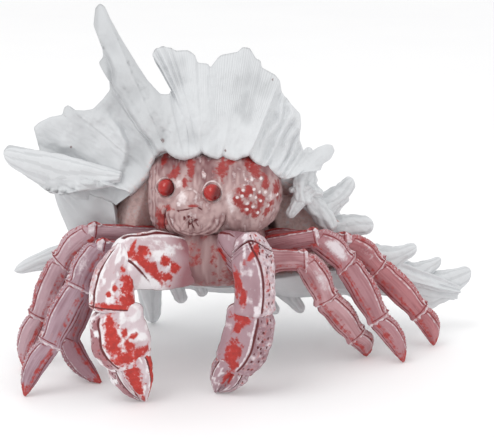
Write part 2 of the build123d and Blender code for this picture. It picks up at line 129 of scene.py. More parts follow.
def beads(x, y, seed, size=0.36):
    """Round beads, one at a chance place in each unit square: 1 - (distance / size)2, never below 0."""
    spots = np.random.default_rng(seed).uniform(0.2, 0.8, (64, 64, 2))
    xi = np.floor(x).astype(int)
    yi = np.floor(y).astype(int)
    height = np.zeros(np.broadcast(x, y).shape)
    for dx in (-1, 0, 1):
        for dy in (-1, 0, 1):
            spot = spots[(xi + dx) % 64, (yi + dy) % 64]
            far = np.hypot(x - xi - dx - spot[..., 0], y - yi - dy - spot[..., 1])
            height = np.maximum(height, 1 - (far / size) ** 2)
    return height


# %% [markdown]
# ## From a grid of points to a casting
#
# Every surface is a grid: rows run along the piece and columns run round it. Each end closes on a middle
# point, so the piece is a closed skin like a real casting. A piece could also start as a box that is cut
# and smoothed. A grid is chosen, because whole arrays of points are worked out at once, and each point
# knows its place along and round the piece. Numbers kept at each point tell the paint where the red, the
# pale ridges, the dark lines and the painted shade go.

# %% Skins


def unit(v):
    """A vector, or each row of vectors, over its own length."""
    v = np.asarray(v, float)
    return v / np.linalg.norm(v, axis=-1, keepdims=True)


def skin(points):
    """Vertices and faces of a grid whose columns go round and whose two ends close on a middle point."""
    rows, columns = points.shape[:2]
    index = np.arange(rows * columns).reshape(rows, columns)
    beside = np.roll(index, -1, axis=1)
    start = np.full(columns, rows * columns)
    quads = np.stack([index[:-1], beside[:-1], beside[1:], index[1:]], -1).reshape(-1, 4)
    first = np.stack([start, beside[0], index[0]], -1)
    last = np.stack([start + 1, index[-1], beside[-1]], -1)
    ends = np.stack([points[0].mean(0), points[-1].mean(0)])
    vertices = np.concatenate([points.reshape(-1, 3), ends])
    corners = vertices[quads] - vertices.mean(0)
    lean = np.cross(corners[:, 2] - corners[:, 0], corners[:, 3] - corners[:, 1])
    if (lean * corners.mean(1)).sum() < 0:
        quads, first, last = quads[:, ::-1], first[:, ::-1], last[:, ::-1]
    return vertices, quads.tolist() + first.tolist() + last.tolist()

# %% Castings
MASKS = ("red", "line", "pale", "shade_and_tone")


def placed(name, data):
    """A new object in the scene."""
    thing = bpy.data.objects.new(name, data)
    scene.collection.objects.link(thing)
    return thing


def casting(name, grids, material, slot, *nodes):
    """One mesh from several grids of points in millimetres, with a paint value for each mask."""
    vertices, faces, paint, count = [], [], {mask: [] for mask in MASKS}, 0
    for points, masks in grids:
        part, corners = skin(points)
        faces += [[c + count for c in face] for face in corners]
        vertices.append(part)
        count += len(part)
        for mask in MASKS:
            values = np.broadcast_to(masks.get(mask, 0.0), points.shape[:2])
            ends = [values[0].mean(), values[-1].mean()]
            paint[mask].append(np.concatenate([values.ravel(), ends]))
    mesh = bpy.data.meshes.new(name)
    mesh.from_pydata((np.concatenate(vertices) * MM).tolist(), [], faces)
    for mask in MASKS:
        layer = mesh.attributes.new(mask, "FLOAT", "POINT")
        layer.data.foreach_set("value", np.clip(np.concatenate(paint[mask]), 0, 1).astype(np.float32))
    mesh.shade_smooth()
    mesh.materials.append(material)
    piece = placed(name, mesh)
    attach(piece, "root")
    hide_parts(*nodes)
    print(name, "points", count)


# %% [markdown]
# ## Paint
#
# The resin is painted by hand. A thin wash gives the ground its colour, brighter red and pale touches go
# on top, and dark red lines follow the grooves. The darker wash colour is also laid on as painted shade, in
# creases and hollows, under overhangs and on sides turned from the light. The paint could be a picture
# wrapped round each piece.
# One shared recipe of nodes is chosen, which mixes the layers by the numbers kept on the surface, because
# those follow every groove exactly. The layers get a blotchy edge, because a brush never leaves a clean
# one.

# %% Shader nodes


def colour(red, green, blue):
    """A linear colour from the 0 to 255 values of a paint chart."""
    chart = np.array([red, green, blue]) / 255
    linear = np.where(chart < 0.04045, chart / 12.92, ((chart + 0.055) / 1.055) ** 2.4)
    return (*linear, 1.0)


def add_node(tree, kind, inputs=(), **settings):
    """A new shader node with its settings. Each input takes a value, or a link from another node."""
    node = tree.nodes.new(kind)
    for key, value in settings.items():
        setattr(node, key, value)
    for key, value in dict(inputs).items():
        if isinstance(value, bpy.types.NodeSocket):
            tree.links.new(value, node.inputs[key])
        else:
            node.inputs[key].default_value = value
    return node


def noise_node(tree, scale, detail):
    """A noise texture that reads object coordinates."""
    place = add_node(tree, "ShaderNodeTexCoord").outputs["Object"]
    inputs = {"Vector": place, "Scale": scale, "Detail": detail, "Roughness": 0.6}
    return add_node(tree, "ShaderNodeTexNoise", inputs).outputs["Fac"]


def mixed(tree, share, under, over):
    """One colour laid over another by a share."""
    return add_node(tree, "ShaderNodeMix", {0: share, 6: under, 7: over}, data_type="RGBA").outputs[2]


# %% Shared paint recipe
LAYERS = ("Ground", "WashAndShade", "Pale", "Red", "Line")
paint_group = bpy.data.node_groups.new("hand_paint", "ShaderNodeTree")
for title in LAYERS:
    paint_group.interface.new_socket(title, in_out="INPUT", socket_type="NodeSocketColor")
paint_group.interface.new_socket("Color", in_out="OUTPUT", socket_type="NodeSocketColor")
paint_group.interface.new_socket("Height", in_out="OUTPUT", socket_type="NodeSocketFloat")
layer = add_node(paint_group, "NodeGroupInput").outputs
result = add_node(paint_group, "NodeGroupOutput").inputs
blotch = noise_node(paint_group, 420, 4)
speckle = noise_node(paint_group, 900, 3)
masks = {m: add_node(paint_group, "ShaderNodeAttribute", attribute_name=m).outputs["Fac"] for m in MASKS}


def maths(operation, first, second):
    """A maths node of the recipe, on two values or sockets."""
    return add_node(paint_group, "ShaderNodeMath", {0: first, 1: second}, operation=operation).outputs[0]


def brushed(share, ragged, soft=0.2):
    """A mask whose edge is broken up by the blotches: it shows where mask + blotch passes a half."""
    blotchy = maths("MULTIPLY", maths("SUBTRACT", blotch, 0.5), ragged)
    touched = maths("MINIMUM", maths("MULTIPLY", share, 4.0), 1.0)
    lifted = maths("ADD", share, maths("MULTIPLY", blotchy, touched))
    inputs = {"Value": lifted, "From Min": 0.5 - soft, "From Max": 0.5 + soft}
    node = add_node(paint_group, "ShaderNodeMapRange", inputs, interpolation_type="SMOOTHSTEP")
    return node.outputs["Result"]


# Painted shade: the darker colour goes where the shading mask is high, in creases, hollows, under overhangs
# and on sides turned from the light; the blotches add some of it at random as tone.
shade_and_wash_share = maths("MAXIMUM", masks["shade_and_tone"], maths("MULTIPLY", blotch, 0.35))
tone = mixed(paint_group, shade_and_wash_share, layer["Ground"], layer["WashAndShade"])
tone = mixed(paint_group, brushed(masks["pale"], 0.8), tone, layer["Pale"])
stain = maths("MULTIPLY", maths("SUBTRACT", blotch, 0.4), 1.3)
stained = mixed(paint_group, stain, layer["Red"], layer["Line"])
tone = mixed(paint_group, brushed(masks["red"], 2.2, 0.32), tone, stained)
tone = mixed(paint_group, brushed(masks["line"], 0.7), tone, layer["Line"])
paint_group.links.new(tone, result["Color"])
paint_group.links.new(maths("ADD", speckle, blotch), result["Height"])

# %% Paints


def painted(name, ground, shade_and_wash, pale, red, line, roughness, bump=0.0002):
    """A material that mixes five paint chart colours by the shared recipe and has its own sheen."""
    material = bpy.data.materials.new(name)
    material.use_nodes = True
    tree = material.node_tree
    shader = tree.nodes["Principled BSDF"].inputs
    tones = {title: colour(*value) for title, value in zip(LAYERS, (ground, shade_and_wash, pale, red, line))}
    recipe = add_node(tree, "ShaderNodeGroup", tones, node_tree=paint_group).outputs
    bumps = {"Strength": 0.6, "Distance": bump, "Height": recipe["Height"]}
    tree.links.new(recipe["Color"], shader["Base Color"])
    tree.links.new(add_node(tree, "ShaderNodeBump", bumps).outputs["Normal"], shader["Normal"])
    shader["Roughness"].default_value = roughness
    return material


RED = (178, 42, 34)
DARK = (98, 22, 26)
CHALK = (236, 232, 234)
# The second colour of each paint is its painted shade and its random darker tone: grey on the white shell,
# dark rose on the crab's body.
shell_paint = painted(
    "shell_white", (216, 218, 220), (188, 190, 192), CHALK, (236, 206, 201), (126, 105, 104), 0.62
)
body_paint = painted("body_paint", (196, 168, 166), (122, 78, 80), (226, 212, 212), (158, 46, 42), DARK, 0.42)

# %% [markdown]
# ## Shell body
#
# The shell is a hollow coil, cast in a flexible mould, which is what makes such thin frills possible. A
# true spiral could be swept. Here a cross-section is carried along a straight axis, from the point of the
# spire to the end of the canal, because only the outside shows and its radius can then follow the
# outline. The cross-section is a ring that opens at the front, where the crab looks out. Above the mouth
# it swells forward to meet the frilled lip, and below the mouth it is flattened.

# %% Shell axis and outline
APEX = np.array([-111.0, 14.0, 105.0])
CANAL_END = np.array([127.0, 42.0, 26.0])
shell_length = np.linalg.norm(CANAL_END - APEX)
axis_way = unit(CANAL_END - APEX)
axis_up = unit(np.array([0, 0, 1.0]) - axis_way * axis_way[2])
axis_front = np.cross(axis_way, axis_up)
SPIRE = [(0, 1.5), (8, 11.5), (16, 17), (25, 24.5), (34, 27.5), (45, 36), (56, 40.5)]
WHORL = [(70, 49), (84, 52.5), (110, 50)]
CANAL = [(142, 36.5), (176, 23.5), (212, 13.5), (shell_length, 5.5)]
print("shell axis", round(float(shell_length), 1), "mm")


def whorl_radius(s):
    """Radius of the coil at a distance along its axis, through the profile's points."""
    stations, radii = zip(*SPIRE, *WHORL, *CANAL)
    return flowing(s, stations, radii)


def underside(s, turn):
    """Share of the radius that is left: a bell-shaped cut below the mouth, where the body hangs."""
    return 1 - 0.23 * hump(turn, 1.5 * np.pi + 0.4, 0.6) * ease((s - 45) / 20) * ease((155 - s) / 25)


def across_axis(s, front, up):
    """A point beside the axis: so far along it, so far to its front and so far above it."""
    return APEX + axis_way * s[..., None] + axis_front * front[..., None] + axis_up * up[..., None]


# %% [markdown]
# ## Frilled lip
#
# Round the mouth the shell spreads into a thin sheet, like the lip of a real murex. It runs from the lobe
# on the left over the tall spike and the crest to the first spine on the right. A flat sheet could be cut
# out and bent. Stretching one between two lines, the scalloped edge of the mouth and the torn outer edge,
# is chosen, because both edges then lie exactly where they should. Fine growth lines run from one to the
# other.

# %% Points of the frill
FRILL_EDGE = [
    (-103, -7, 96), (-108.5, -6, 98.5), (-115, -5, 102.5), (-121.5, -4, 106.5), (-129.5, -3, 112.5),
    (-133.5, -3, 117), (-134, -3, 121), (-131, -3, 124.5), (-124, -4, 123.5), (-113.5, -5, 121.5),
    (-115, -2, 125), (-116, -2, 130), (-117, -2, 134), (-113.5, -2, 137), (-107.5, -3, 140),
    (-100.5, -4, 141.5), (-99.5, -4, 145.5), (-97, -4, 147), (-95.5, -5, 144.5), (-88.5, -5, 144),
    (-83.5, -6, 145), (-78, -7, 150.5), (-74, -7, 155.5), (-74, -10, 162.5), (-77, -9, 166.5),
    (-79.5, -8, 170.5), (-77, -8, 173.5), (-77.5, -7, 177.5), (-80, -6, 184.5), (-82, -5, 190),
    (-81, -3, 199), (-78.5, -3, 201.5), (-76, -3, 200), (-73.5, -4, 194.5), (-68, -6, 184.5),
    (-60, -8, 171.5), (-53.5, -10, 161.5), (-46.5, -11, 154), (-42, -9, 153.5), (-41, -3, 155),
    (-43, 2, 160.5), (-49.5, 6, 167), (-52, 8, 172.5), (-50.5, 10, 175.5), (-46.5, 10, 177),
    (-41.5, 10, 176), (-39, 9, 174.5), (-32.5, 9, 175), (-28.5, 8, 172.5), (-27, 6, 168.5),
    (-21.5, 6, 168), (-20, 5, 166), (-16, 8, 171), (-14, 8, 172.5), (-5, 9, 174), (-2.5, 10, 176.5),
    (1.5, 10, 176), (5, 7, 170.5), (7.5, 7, 169.5), (8, 5, 166), (15.5, 4, 162), (18, 2, 159),
    (19, 0, 153), (22.5, -2, 149), (29, -6, 142), (29.5, -7, 136), (28.5, -8, 129), (31, -7, 122),
    (36.5, -3, 121.5), (40, 0, 123), (44, 4, 123.5), (47.5, 7, 122.5), (49, 7, 119), (47, 5, 115.5),
    (42.5, 1, 113.5), (40.5, -3, 110.5),
]
FRILL_LIP = [  # number of the point opposite on the outer edge, then the place
    (0, -72.5, -14, 92), (6, -68, -16, 95), (9, -61, -18, 100.5), (12, -56.5, -19, 105.5),
    (17, -52.5, -19, 110), (20, -51, -20, 115.5), (22, -49, -20, 121), (27, -46, -22, 124),
    (31, -43, -22, 124.5), (34, -41, -21, 122.5), (36, -38, -20, 120.5), (38, -33, -19, 119.3),
    (42, -30, -19, 119.8), (45, -27, -20, 121.4), (48, -24, -21, 123.3), (51, -21, -21, 122),
    (53, -16, -19, 119.3), (54, -13, -20, 120.8), (55, -10, -19, 119.2), (57, -7, -19, 118.5),
    (59, -3, -20, 120.8), (61, 1, -21, 122), (62, 3, -19, 119), (63, 6, -16, 115),
    (64, 10, -16, 114.2), (65, 15, -14, 110), (67, 20, -13, 108), (70, 26, -13, 109.3),
    (73, 30, -13, 111.9), (75, 37, -10, 112.5),
]

# %% Two lines of the frill
edge_points = np.array(FRILL_EDGE, float)
walk = np.concatenate([[0], np.cumsum(np.linalg.norm(np.diff(edge_points, axis=0), axis=1))])
number = np.arange(len(edge_points))
v = np.linspace(0, walk[-1], 1400)
k = np.interp(v, walk, number)
lip_number = [row[0] for row in FRILL_LIP]


def softened(line, width):
    """A line of points with each one replaced by the mean of its neighbours, the ends kept."""
    ends = np.pad(line, ((width, width), (0, 0)), mode="edge")
    return sum(ends[i : i + len(line)] for i in range(2 * width + 1)) / (2 * width + 1)


outer_line = softened(np.stack([np.interp(k, number, edge_points[:, i]) for i in range(3)], 1), 3)
lip_places = [np.interp(k, lip_number, [row[i] for row in FRILL_LIP]) for i in (1, 2, 3)]
lip_line = softened(np.stack(lip_places, 1), 4)
print("frill: outer edge", round(float(walk[-1])), "mm")

# %% [markdown]
# The coil opens behind the frill. Its upper edge follows the edge of the mouth, so that the two meet there,
# and its lower edge is a plain sweep.

# %% Shell body grid
s = np.linspace(0, shell_length, 250)[:, None]
from_apex = lip_line - APEX
lip_s, lip_front, lip_up = from_apex @ axis_way, from_apex @ axis_front, from_apex @ axis_up
lip_turn = np.arctan2(lip_up, lip_front)
lip_reach = np.hypot(lip_up, lip_front) + 1.2
LOW_EDGE = ([36, 44, 50, 75, 105, 125, 140, 165, 186], [0, 28, 38, 42, 40, 28, 20, 9, 0])
open_top = np.interp(s, [lip_s[0] - 8, *lip_s, 148, 166, 186], [0, *lip_turn, 0.75, 0.35, 0])
open_reach = np.interp(s, [lip_s[0] - 8, *lip_s, 140, 147], [0, *lip_reach, 48, 0])
open_low = -np.radians(flowing(s, *LOW_EDGE))
outside = np.linspace(0, 1, 190)[None, :]
open_edge = open_top + 0.05 * ease(open_reach / 40)
turn = open_edge + (2 * np.pi + open_low - open_edge) * outside
radius = whorl_radius(s)
hood_width = np.radians(35 - 14 * ease((s - 108) / 25))
hood = np.clip(open_reach - radius, 0, None) * hump(turn, open_top, hood_width)
ribs = 0.5 * np.cos(turn * 17 + 1.5 * rough(s / 20, turn, 5)) * ease((s - 10) / 30)
canal_folds = 0.9 * np.cos(turn * 9 + rough(s / 15, turn * 2, 6)) * ease((s - 150) / 40)
uneven = 0.5 * rough(s / 5, turn * 9, 2) + 0.7 * rough(s / 12, turn * 4, 8)
reach = radius + hood + ribs + canal_folds + uneven
reach = reach * underside(s, turn) * (1 + 0.5 * hump(turn, 1.5 * np.pi, 0.7) * hump(s, 17, 14))
reach = reach * (1 - 0.6 * hump(turn, 0.5 * np.pi, 0.7) * ease((s - 160) / 30))
outer_points = across_axis(s, reach * np.cos(turn), reach * np.sin(turn))

# %% [markdown]
# The inside is a shallow bowl behind the crab. Only the socket of its abdomen goes deeper.

# %% Shell inside
WALL = 4.0
inside = np.linspace(1, 0, 90)[None, 1:-1]
turn_in = open_top + (2 * np.pi + open_low - open_top) * inside
hollow = ease((s - 34) / 12) * ease((182 - s) / 18)
raised_floor = 1 - 0.38 * hump(turn_in, 1.5 * np.pi + 0.2, 0.9)
reach_in = (radius * raised_floor - WALL) * hollow
front_in = reach_in * np.cos(turn_in)
up_in = reach_in * np.sin(turn_in)
flat_points = across_axis(s, front_in, up_in)
socket = np.hypot((flat_points[..., 0] + 18) / 26, (flat_points[..., 2] - 67) / 19)
BOWL = ([38, 52, 70, 95, 130, 150, 175], [40, 30, 18, 12, 18, 23, 27])
SOCKET_DEPTH = 66.0
floor_in = flowing(s, *BOWL) - SOCKET_DEPTH * ease((1.15 - socket) / 0.15)
front_in = np.where(hollow > 0.5, np.maximum(front_in, np.minimum(floor_in, reach_in * 0.9)), front_in)
inner_points = across_axis(s, front_in, up_in)
# Painted shade: the outside of the coil darkens towards the spire on the left, with random tone on top; the
# inside takes a little of the darker colour too.
outer_shade_and_tone = 0.6 * ease((100 - s) / 40) + 0.25 * rough(s / 9, turn * 6, 9)
body_masks = {
    "red": np.concatenate([0 * turn, 0.8 + 0 * turn_in], axis=1),
    "shade_and_tone": np.concatenate([outer_shade_and_tone, 0.3 + 0 * turn_in], axis=1),
}
body_grid = (np.concatenate([outer_points, inner_points], axis=1), body_masks)

# %% [markdown]
# The frill is a thin closed sheet. Its front and its back run from the mouth's edge to the torn edge. Between
# the two lines it bulges, forwards on the left lobe and backwards over the crest.

# %% Frill grid
front_share = np.linspace(0, 1, 44) ** 0.9
u = np.concatenate([front_share, front_share[-2:0:-2]])[None, :]
is_front = (np.arange(u.size) < front_share.size)[None, :]
k, v = k[:, None], v[:, None]
ray = outer_line - lip_line
from_lip = np.linalg.norm(ray, axis=1)[:, None] * u
BOW = (  # how far the sheet bulges back between its two lines
    [0, 6, 9, 9.6, 15, 21, 22, 22.6, 26, 31, 38, 51, 60.8, 61.4, 64, 67, 71, 75],
    [-4, -3, -2, 2, 4, 4, 3, -3, -3, -3, -4, -4, -4, 1.5, 2, 0, -2, 0],
)
SWAY = ([38.5, 40, 42, 44, 47], [0, 4, 5, 3, 0])
bulge = 4 * u * (1 - u)
sheet = lip_line[:, None, :] + ray[:, None, :] * u[..., None]
sheet[..., 0] += np.interp(k, *SWAY) * bulge
sheet[..., 1] += np.interp(k, *BOW) * bulge

# %% [markdown]
# Folds give the sheet its look. A deep crease runs up to the tall spike, a valley and a leaf lie to its left,
# and pleats and fine growth lines cross the crest. Each one is a height that is small away from its own line.

# %% Lines of the folds
CREASE_Z = [124.5, 130, 136, 143, 146.5, 153.5, 158.5, 168.5, 175.5, 182.5]
CREASE_X = [-49, -52, -57.5, -62.3, -64.5, -68.2, -71.3, -72.3, -75.4, -78.5]
FOLD = ([111, 117.8, 127.9, 136.2, 140], [-70, -66.6, -65.7, -70, -73])
LEAF_TOP = ([-114, -94.7, -74, -67], [122, 118.9, 113.2, 109.5])
LOBE_EDGE = ([-110, -103, -90, -73.5, -64], [97.5, 98.6, 102, 105, 103])
SHADED = ([0, 22, 23, 36, 39, 58, 62], [0.35, 0.35, 0.7, 0.65, 0.25, 0.2, 0])
STRIPED = ([0, 38, 40, 50, 52, 67, 69, 75], [0.1, 0.1, 0.4, 0.5, 1, 1, 0.4, 0.4])
CUSPS = [-43.0, -24.0, -13.0, 1.0, 10.0, 27.0]

# %% Folds on the left
x, z = sheet[..., 0], sheet[..., 2]
crease_x = np.interp(z, CREASE_Z, CREASE_X)
crease = hump(x, crease_x, 1.9) * ease((z - 122) / 5) * ease((181 - z) / 8)
below_lobe = np.interp(x, *LOBE_EDGE) - z
below_leaf = np.interp(x, *LEAF_TOP) - z
fold_x = np.interp(z, *FOLD)
valley = ease((x - fold_x) / 2.5) * ease((crease_x + 2 - x) / 9) * ease((z - 104) / 8) * ease((142 - z) / 8)
leaf_shade = hump(below_leaf, -2.5, 3.0) * ease((-64 - x) / 9) * ease((24 - k) / 2)
under_lobe = ease(below_lobe / 2.5) * ease((-62 - x) / 5)
lumps = beads(x / 4.5, z / 4.5, 17, 0.48) * hump(below_lobe, -2.0, 2.8) * ease((-66 - x) / 6)
shade_behind_crease = ease((crease_x - x) / 1.5) * ease((z - 136) / 12)
left_ridge = hump(x, crease_x - 14, 3.5) * ease((z - 116) / 6) * ease((146 - z) / 8)

# %% Growth lines and pleats
striae = np.sin(v * 2 * np.pi / 1.5 + 3 * rough(v / 14, u * 2, 11)) * ease((u - 0.25) / 0.3)
striae = striae * np.interp(k, *STRIPED)
waves = rough(x / 12, z / 12, 12) + 0.4 * rough(x / 5, z / 5, 15)
waves = waves * ease(from_lip / 10) * ease((1.05 - u) / 0.2)
pleats = np.cos(v * 2 * np.pi / 8.5 + 2.6 * rough(x / 8, z / 10, 13))
pleats = pleats * ease((k - 61) / 1.5) * ease((68 - k) / 2)
creases = np.cos(v * 2 * np.pi / 5.0) * ease((k - 39.5) / 1.5) * ease((46 - k) / 1.5) * ease((u - 0.5) / 0.3)
lip_x = lip_line[:, :1]
scallop = np.abs(np.sin(np.pi * np.interp(lip_x, CUSPS, range(len(CUSPS))))) * ease((k - 24) / 6)
cusp = sum(hump(lip_x, place, 0.8) for place in CUSPS[1:]) * ease((k - 24) / 6)
rim = (2.2 * scallop + 0.8) * hump(from_lip, 4.0, 4.5) - 1.2 * cusp * hump(from_lip, 3.0, 4.0)

# %% Frill surface and paint
relief = 0.14 * striae + 1.9 * waves + 1.2 * pleats * ease(u / 0.2) + 0.9 * creases
relief = relief + rim - 3.2 * crease + 1.6 * left_ridge
rounded = np.clip(1 - u**10, 0, 1) * np.clip(1 - (1 - u) ** 24, 0, 1)
half = (2.4 + 2.6 * np.exp(-from_lip / 5)) * np.sqrt(rounded)
fine = 0.35 * rough(x / 1.7, z / 1.7, 14) + 2.6 * lumps - 3 * valley - 11 * under_lobe
ahead = np.where(is_front, half + relief + fine, -half + 0.5 * relief - 8 * under_lobe)
frill_points = sheet - np.array([0, 1.0, 0]) * ahead[..., None]
LIP_PITS = [  # place, size
    (-45, 131, 1.3), (-11.5, 125.5, 0.9), (-96, 124, 1.0), (-99, 141, 0.8), (14, 160, 0.8), (-84, 175, 0.8),
]
pits = sum(hump(np.hypot(x - px, z - pz), 0, size) for px, pz, size in LIP_PITS) * is_front
# Painted shade: the troughs of the growth lines, waves and creases, the crease itself, the strip behind it,
# the sheet under the lobe, below the leaf and in the valley take the darker colour, most on the left lobe and
# the spike and least on the right plate.
hollow_shade = 0.4 * ease(-striae / 0.8) + 0.5 * ease(-waves / 0.8) + 0.3 * ease(-creases / 0.6)
hollow_shade = hollow_shade * (1 - 0.6 * ease((k - 58) / 6))
shadows = 0.7 * crease + 0.5 * under_lobe + 0.4 * shade_behind_crease + 0.45 * leaf_shade + 0.3 * valley
frill_masks = {
    "line": 0.8 * pits,
    "shade_and_tone": hollow_shade + shadows + np.interp(k, *SHADED),
    "red": 0.3 * ease((9 - from_lip) / 9) * ease((24 - k) / 4) * is_front,
}
casting("shell_frill", [(frill_points, frill_masks)], shell_paint, "shell", "shell")

# %% [markdown]
# ## Spines
#
# Spines stand out from the coil. Each is a flattened cone with grooves along it: broad where it grows out
# of the shell, narrow at its blunt tip, and bowed a little. They could be pulled out of the coil's own
# surface. Separate cones with their roots inside the coil are chosen, because a thin spine needs a finer
# grid.

# %% Spine shape


def spine(root, tip, breadths, depths, bow, across, seed, grooves=7, rows=56, columns=60):
    """A grooved, flattened cone: an ellipse that shrinks from root to tip along a bowed line."""
    root, tip = np.asarray(root, float), np.asarray(tip, float)
    way = unit(tip - root)
    across = unit(np.asarray(across, float) - way * np.dot(across, way))
    thick = np.cross(way, across)
    u = np.linspace(0, 1, rows)[:, None]
    v = np.linspace(0, 2 * np.pi, columns, endpoint=False)[None, :]
    blunt = np.sqrt(np.clip(1 - np.clip((u - 0.9) / 0.1, 0, 1) ** 2, 0.02, 1))
    if len(breadths) == 2:
        breadths = (breadths[0] * 1.25, breadths[0], sum(breadths) * 0.5, breadths[1])
    breadth = flowing(u, [0, 0.2, 0.55, 1], breadths)
    depth = flowing(u, [0, 0.2, 0.55, 1], [depths[0] * 1.2, depths[0], sum(depths) * 0.5, depths[1]])
    flutes = np.cos(v * grooves + 2 * rough(u * 4, v, seed))
    groove = 1 + 0.05 * flutes + 0.12 * rough(u * 6, v * 1.6, seed + 1)
    groove = groove + 0.06 * rough(u * 14, v * 4, seed + 2)
    x = np.cos(v) * breadth / 2 * blunt * groove
    y = np.sin(v) * depth / 2 * blunt * groove
    middle = root + (tip - root) * u[..., None] + across * (bow * 4 * u * (1 - u))[..., None]
    points = middle + x[..., None] * across + y[..., None] * thick
    # Painted shade: the troughs between the flutes take the darker colour.
    return points, {"shade_and_tone": 0.6 * (flutes < -0.5)}


# %% Spines on the right, the mouth's ridge and the left leaf
RIGHT_SPINES = [  # root, tip, four breadths, two thicknesses, bow
    ((33, -2, 113), (31, -9, 92), (13, 15, 14, 9), (10, 7), 1),
    ((34, -6, 102), (22.5, -10, 85), (11, 10, 8, 4), (9, 5), 0),
    ((32, -6, 101), (42, -5, 97), (11, 10, 7, 3), (9, 5), 0),
    ((32, -7, 102), (23, -9, 100), (9, 8, 5, 2.5), (8, 4), 0),
    ((40, 9, 87), (60, 13, 101.5), (14, 12, 10, 6.5), (14, 7), -2),
    ((42, 11, 84), (57.5, 13, 92), (15, 12, 8, 5), (13, 6), -1),
    ((44, 13, 71), (73, 20, 72.5), (15, 14.5, 13, 8), (13, 6), 1),
    ((68, 24, 47), (100, 33, 56), (28, 26, 14, 6), (14, 5), -2),
    ((84, 30, 36), (116, 40, 46), (22, 22, 13, 5), (11, 4), -3),
    ((90, 35, 28), (135, 44, 37), (20, 27, 20, 8), (12, 5), -4),
]
MOUTH_RIDGE = ((33, -1, 95), (48, 4, 74), (9, 11, 11, 9), (10, 9), 1)
LEFT_LEAF = ((-68, -16, 109.5), (-133.2, -6.5, 120.4), (5, 13, 18, 9), (7, 5), -4)
right_grids = [
    spine(*sizes, (-0.3, 0, 1), 60 + i) for i, sizes in enumerate([*RIGHT_SPINES, MOUTH_RIDGE, LEFT_LEAF])
]

# %% Spines below and behind


def shell_root(tip, station, share=0.6):
    """A point inside the coil, on the side of the axis that faces the tip."""
    on_axis = APEX + axis_way * station
    outward = np.asarray(tip, float) - on_axis
    outward = unit(outward - axis_way * np.dot(outward, axis_way))
    return on_axis + outward * float(whorl_radius(np.array(station))) * share


SPINES = [  # tip, station along the axis, breadth at root and tip, thickness at root and tip, bow
    ((-135.5, 20, 45), 62, (26, 6), (14, 6), -3),
    ((-36.5, 6, 30), 76, (13, 6), (10, 5), 0),
    ((-24.5, 6, 34), 92, (11, 5), (10, 5), 0),
    ((18, 12, 21.5), 124, (14, 5), (10, 5), 0),
    ((33, 20, 19.5), 140, (14, 5), (10, 5), 0),
    ((-62, 59.5, 151.5), 60, (20, 6), (13, 5), 3),
    ((-28, 69.5, 149.5), 86, (22, 6), (13, 5), 3),
    ((6, 77.5, 124), 112, (20, 6), (13, 5), 3),
    ((38, 69.5, 108), 138, (18, 6), (11, 5), 3),
    ((66, 67.5, 60.5), 168, (15, 5), (10, 5), 2),
    ((94, 63.5, 45.5), 198, (13, 5), (9, 4), 2),
    ((2, 71.5, 32.5), 112, (17, 6), (11, 5), 0),
    ((36, 65.5, 20.5), 140, (15, 5), (10, 5), 0),
    ((70, 57.5, 14.5), 172, (13, 5), (8, 4), 0),
    ((-58, 57, 0.8), 62, (24, 9), (22, 9), 0),
]
spine_grids = [
    spine(shell_root(tip, station), tip, breadths, depths, bow, axis_way, 30 + i)
    for i, (tip, station, breadths, depths, bow) in enumerate(SPINES)
]
boss = spine((-18, 62, 67), (-18, 52, 67), (24, 24), (24, 24), 0, (1, 0, 0), 95, 1, 12, 48)
casting("shell_whorl", [body_grid], shell_paint, "shell", "shell")
casting("shell_spines", [*right_grids, *spine_grids, boss], shell_paint, "shell", "shell")
print("spines", len(right_grids) + len(spine_grids))

# %% [markdown]
# ## Walking legs
#
# A crab's leg is a chain of stiff plates. Each one here is a flattened tube with a bead-covered strip
# along its outer edge, a dark groove beside the strip, and a flared collar where the next one is glued
# in. The toe is a bowed leaf that comes to a point on the floor. A leg could be one long tube with rings
# cut into it. Separate tubes are chosen, because each plate is a casting of its own.

# %% Limb segments


def segment(start, end, facing, outward, breadth, depth, profile, bow, tuck=2.5, lap=1.5, size=(96, 96)):
    """A flattened tube from joint to joint: places along and round it, its length, a way to raise it."""
    start, end = np.asarray(start, float), np.asarray(end, float)
    way = unit(end - start)
    side = unit(np.asarray(facing, float) - way * np.dot(facing, way))
    out = np.cross(way, side)
    out = out * np.sign(np.dot(out, outward))
    length = np.linalg.norm(end - start)
    u = np.linspace(0, 1, size[0])[:, None]
    v = np.linspace(-np.pi, np.pi, size[1], endpoint=False)[None, :]
    swell = flowing(u, *profile)
    x = np.cos(v) * breadth / 2 * swell
    y = np.sin(v) * (0.8 + 0.2 * np.cos(v)) * depth / 2 * swell
    place = (-tuck + (length + tuck + lap) * u) / length
    spread = 4 * bow * np.clip(place, 0, 1) * (1 - np.clip(place, 0, 1))
    middle = start + way * (length * place)[..., None] + out * spread[..., None]

    def moulded(raised):
        """The tube's points, raised along the direction that runs out from its middle line."""
        across = x + raised * np.cos(v)
        ahead = y + raised * np.sin(v)
        return middle + across[..., None] * out + ahead[..., None] * side

    return u, v, length, moulded


# %% Leg plates
LEG_SHAPES = {
    "thigh": ([0, 0.04, 0.5, 0.86, 0.95, 1], [0.6, 0.8, 0.95, 0.92, 1.0, 0.8]),
    "knee": ([0, 0.05, 0.25, 0.55, 0.84, 0.95, 1], [0.45, 0.72, 0.98, 1.04, 0.9, 0.98, 0.72]),
    "shin": ([0, 0.05, 0.3, 0.6, 0.86, 0.95, 1], [0.5, 0.76, 1.0, 1.02, 0.84, 0.88, 0.65]),
    "toe": ([0, 0.06, 0.25, 0.5, 0.75, 0.92, 1], [0.55, 0.85, 1.05, 1.0, 0.72, 0.36, 0.12]),
}


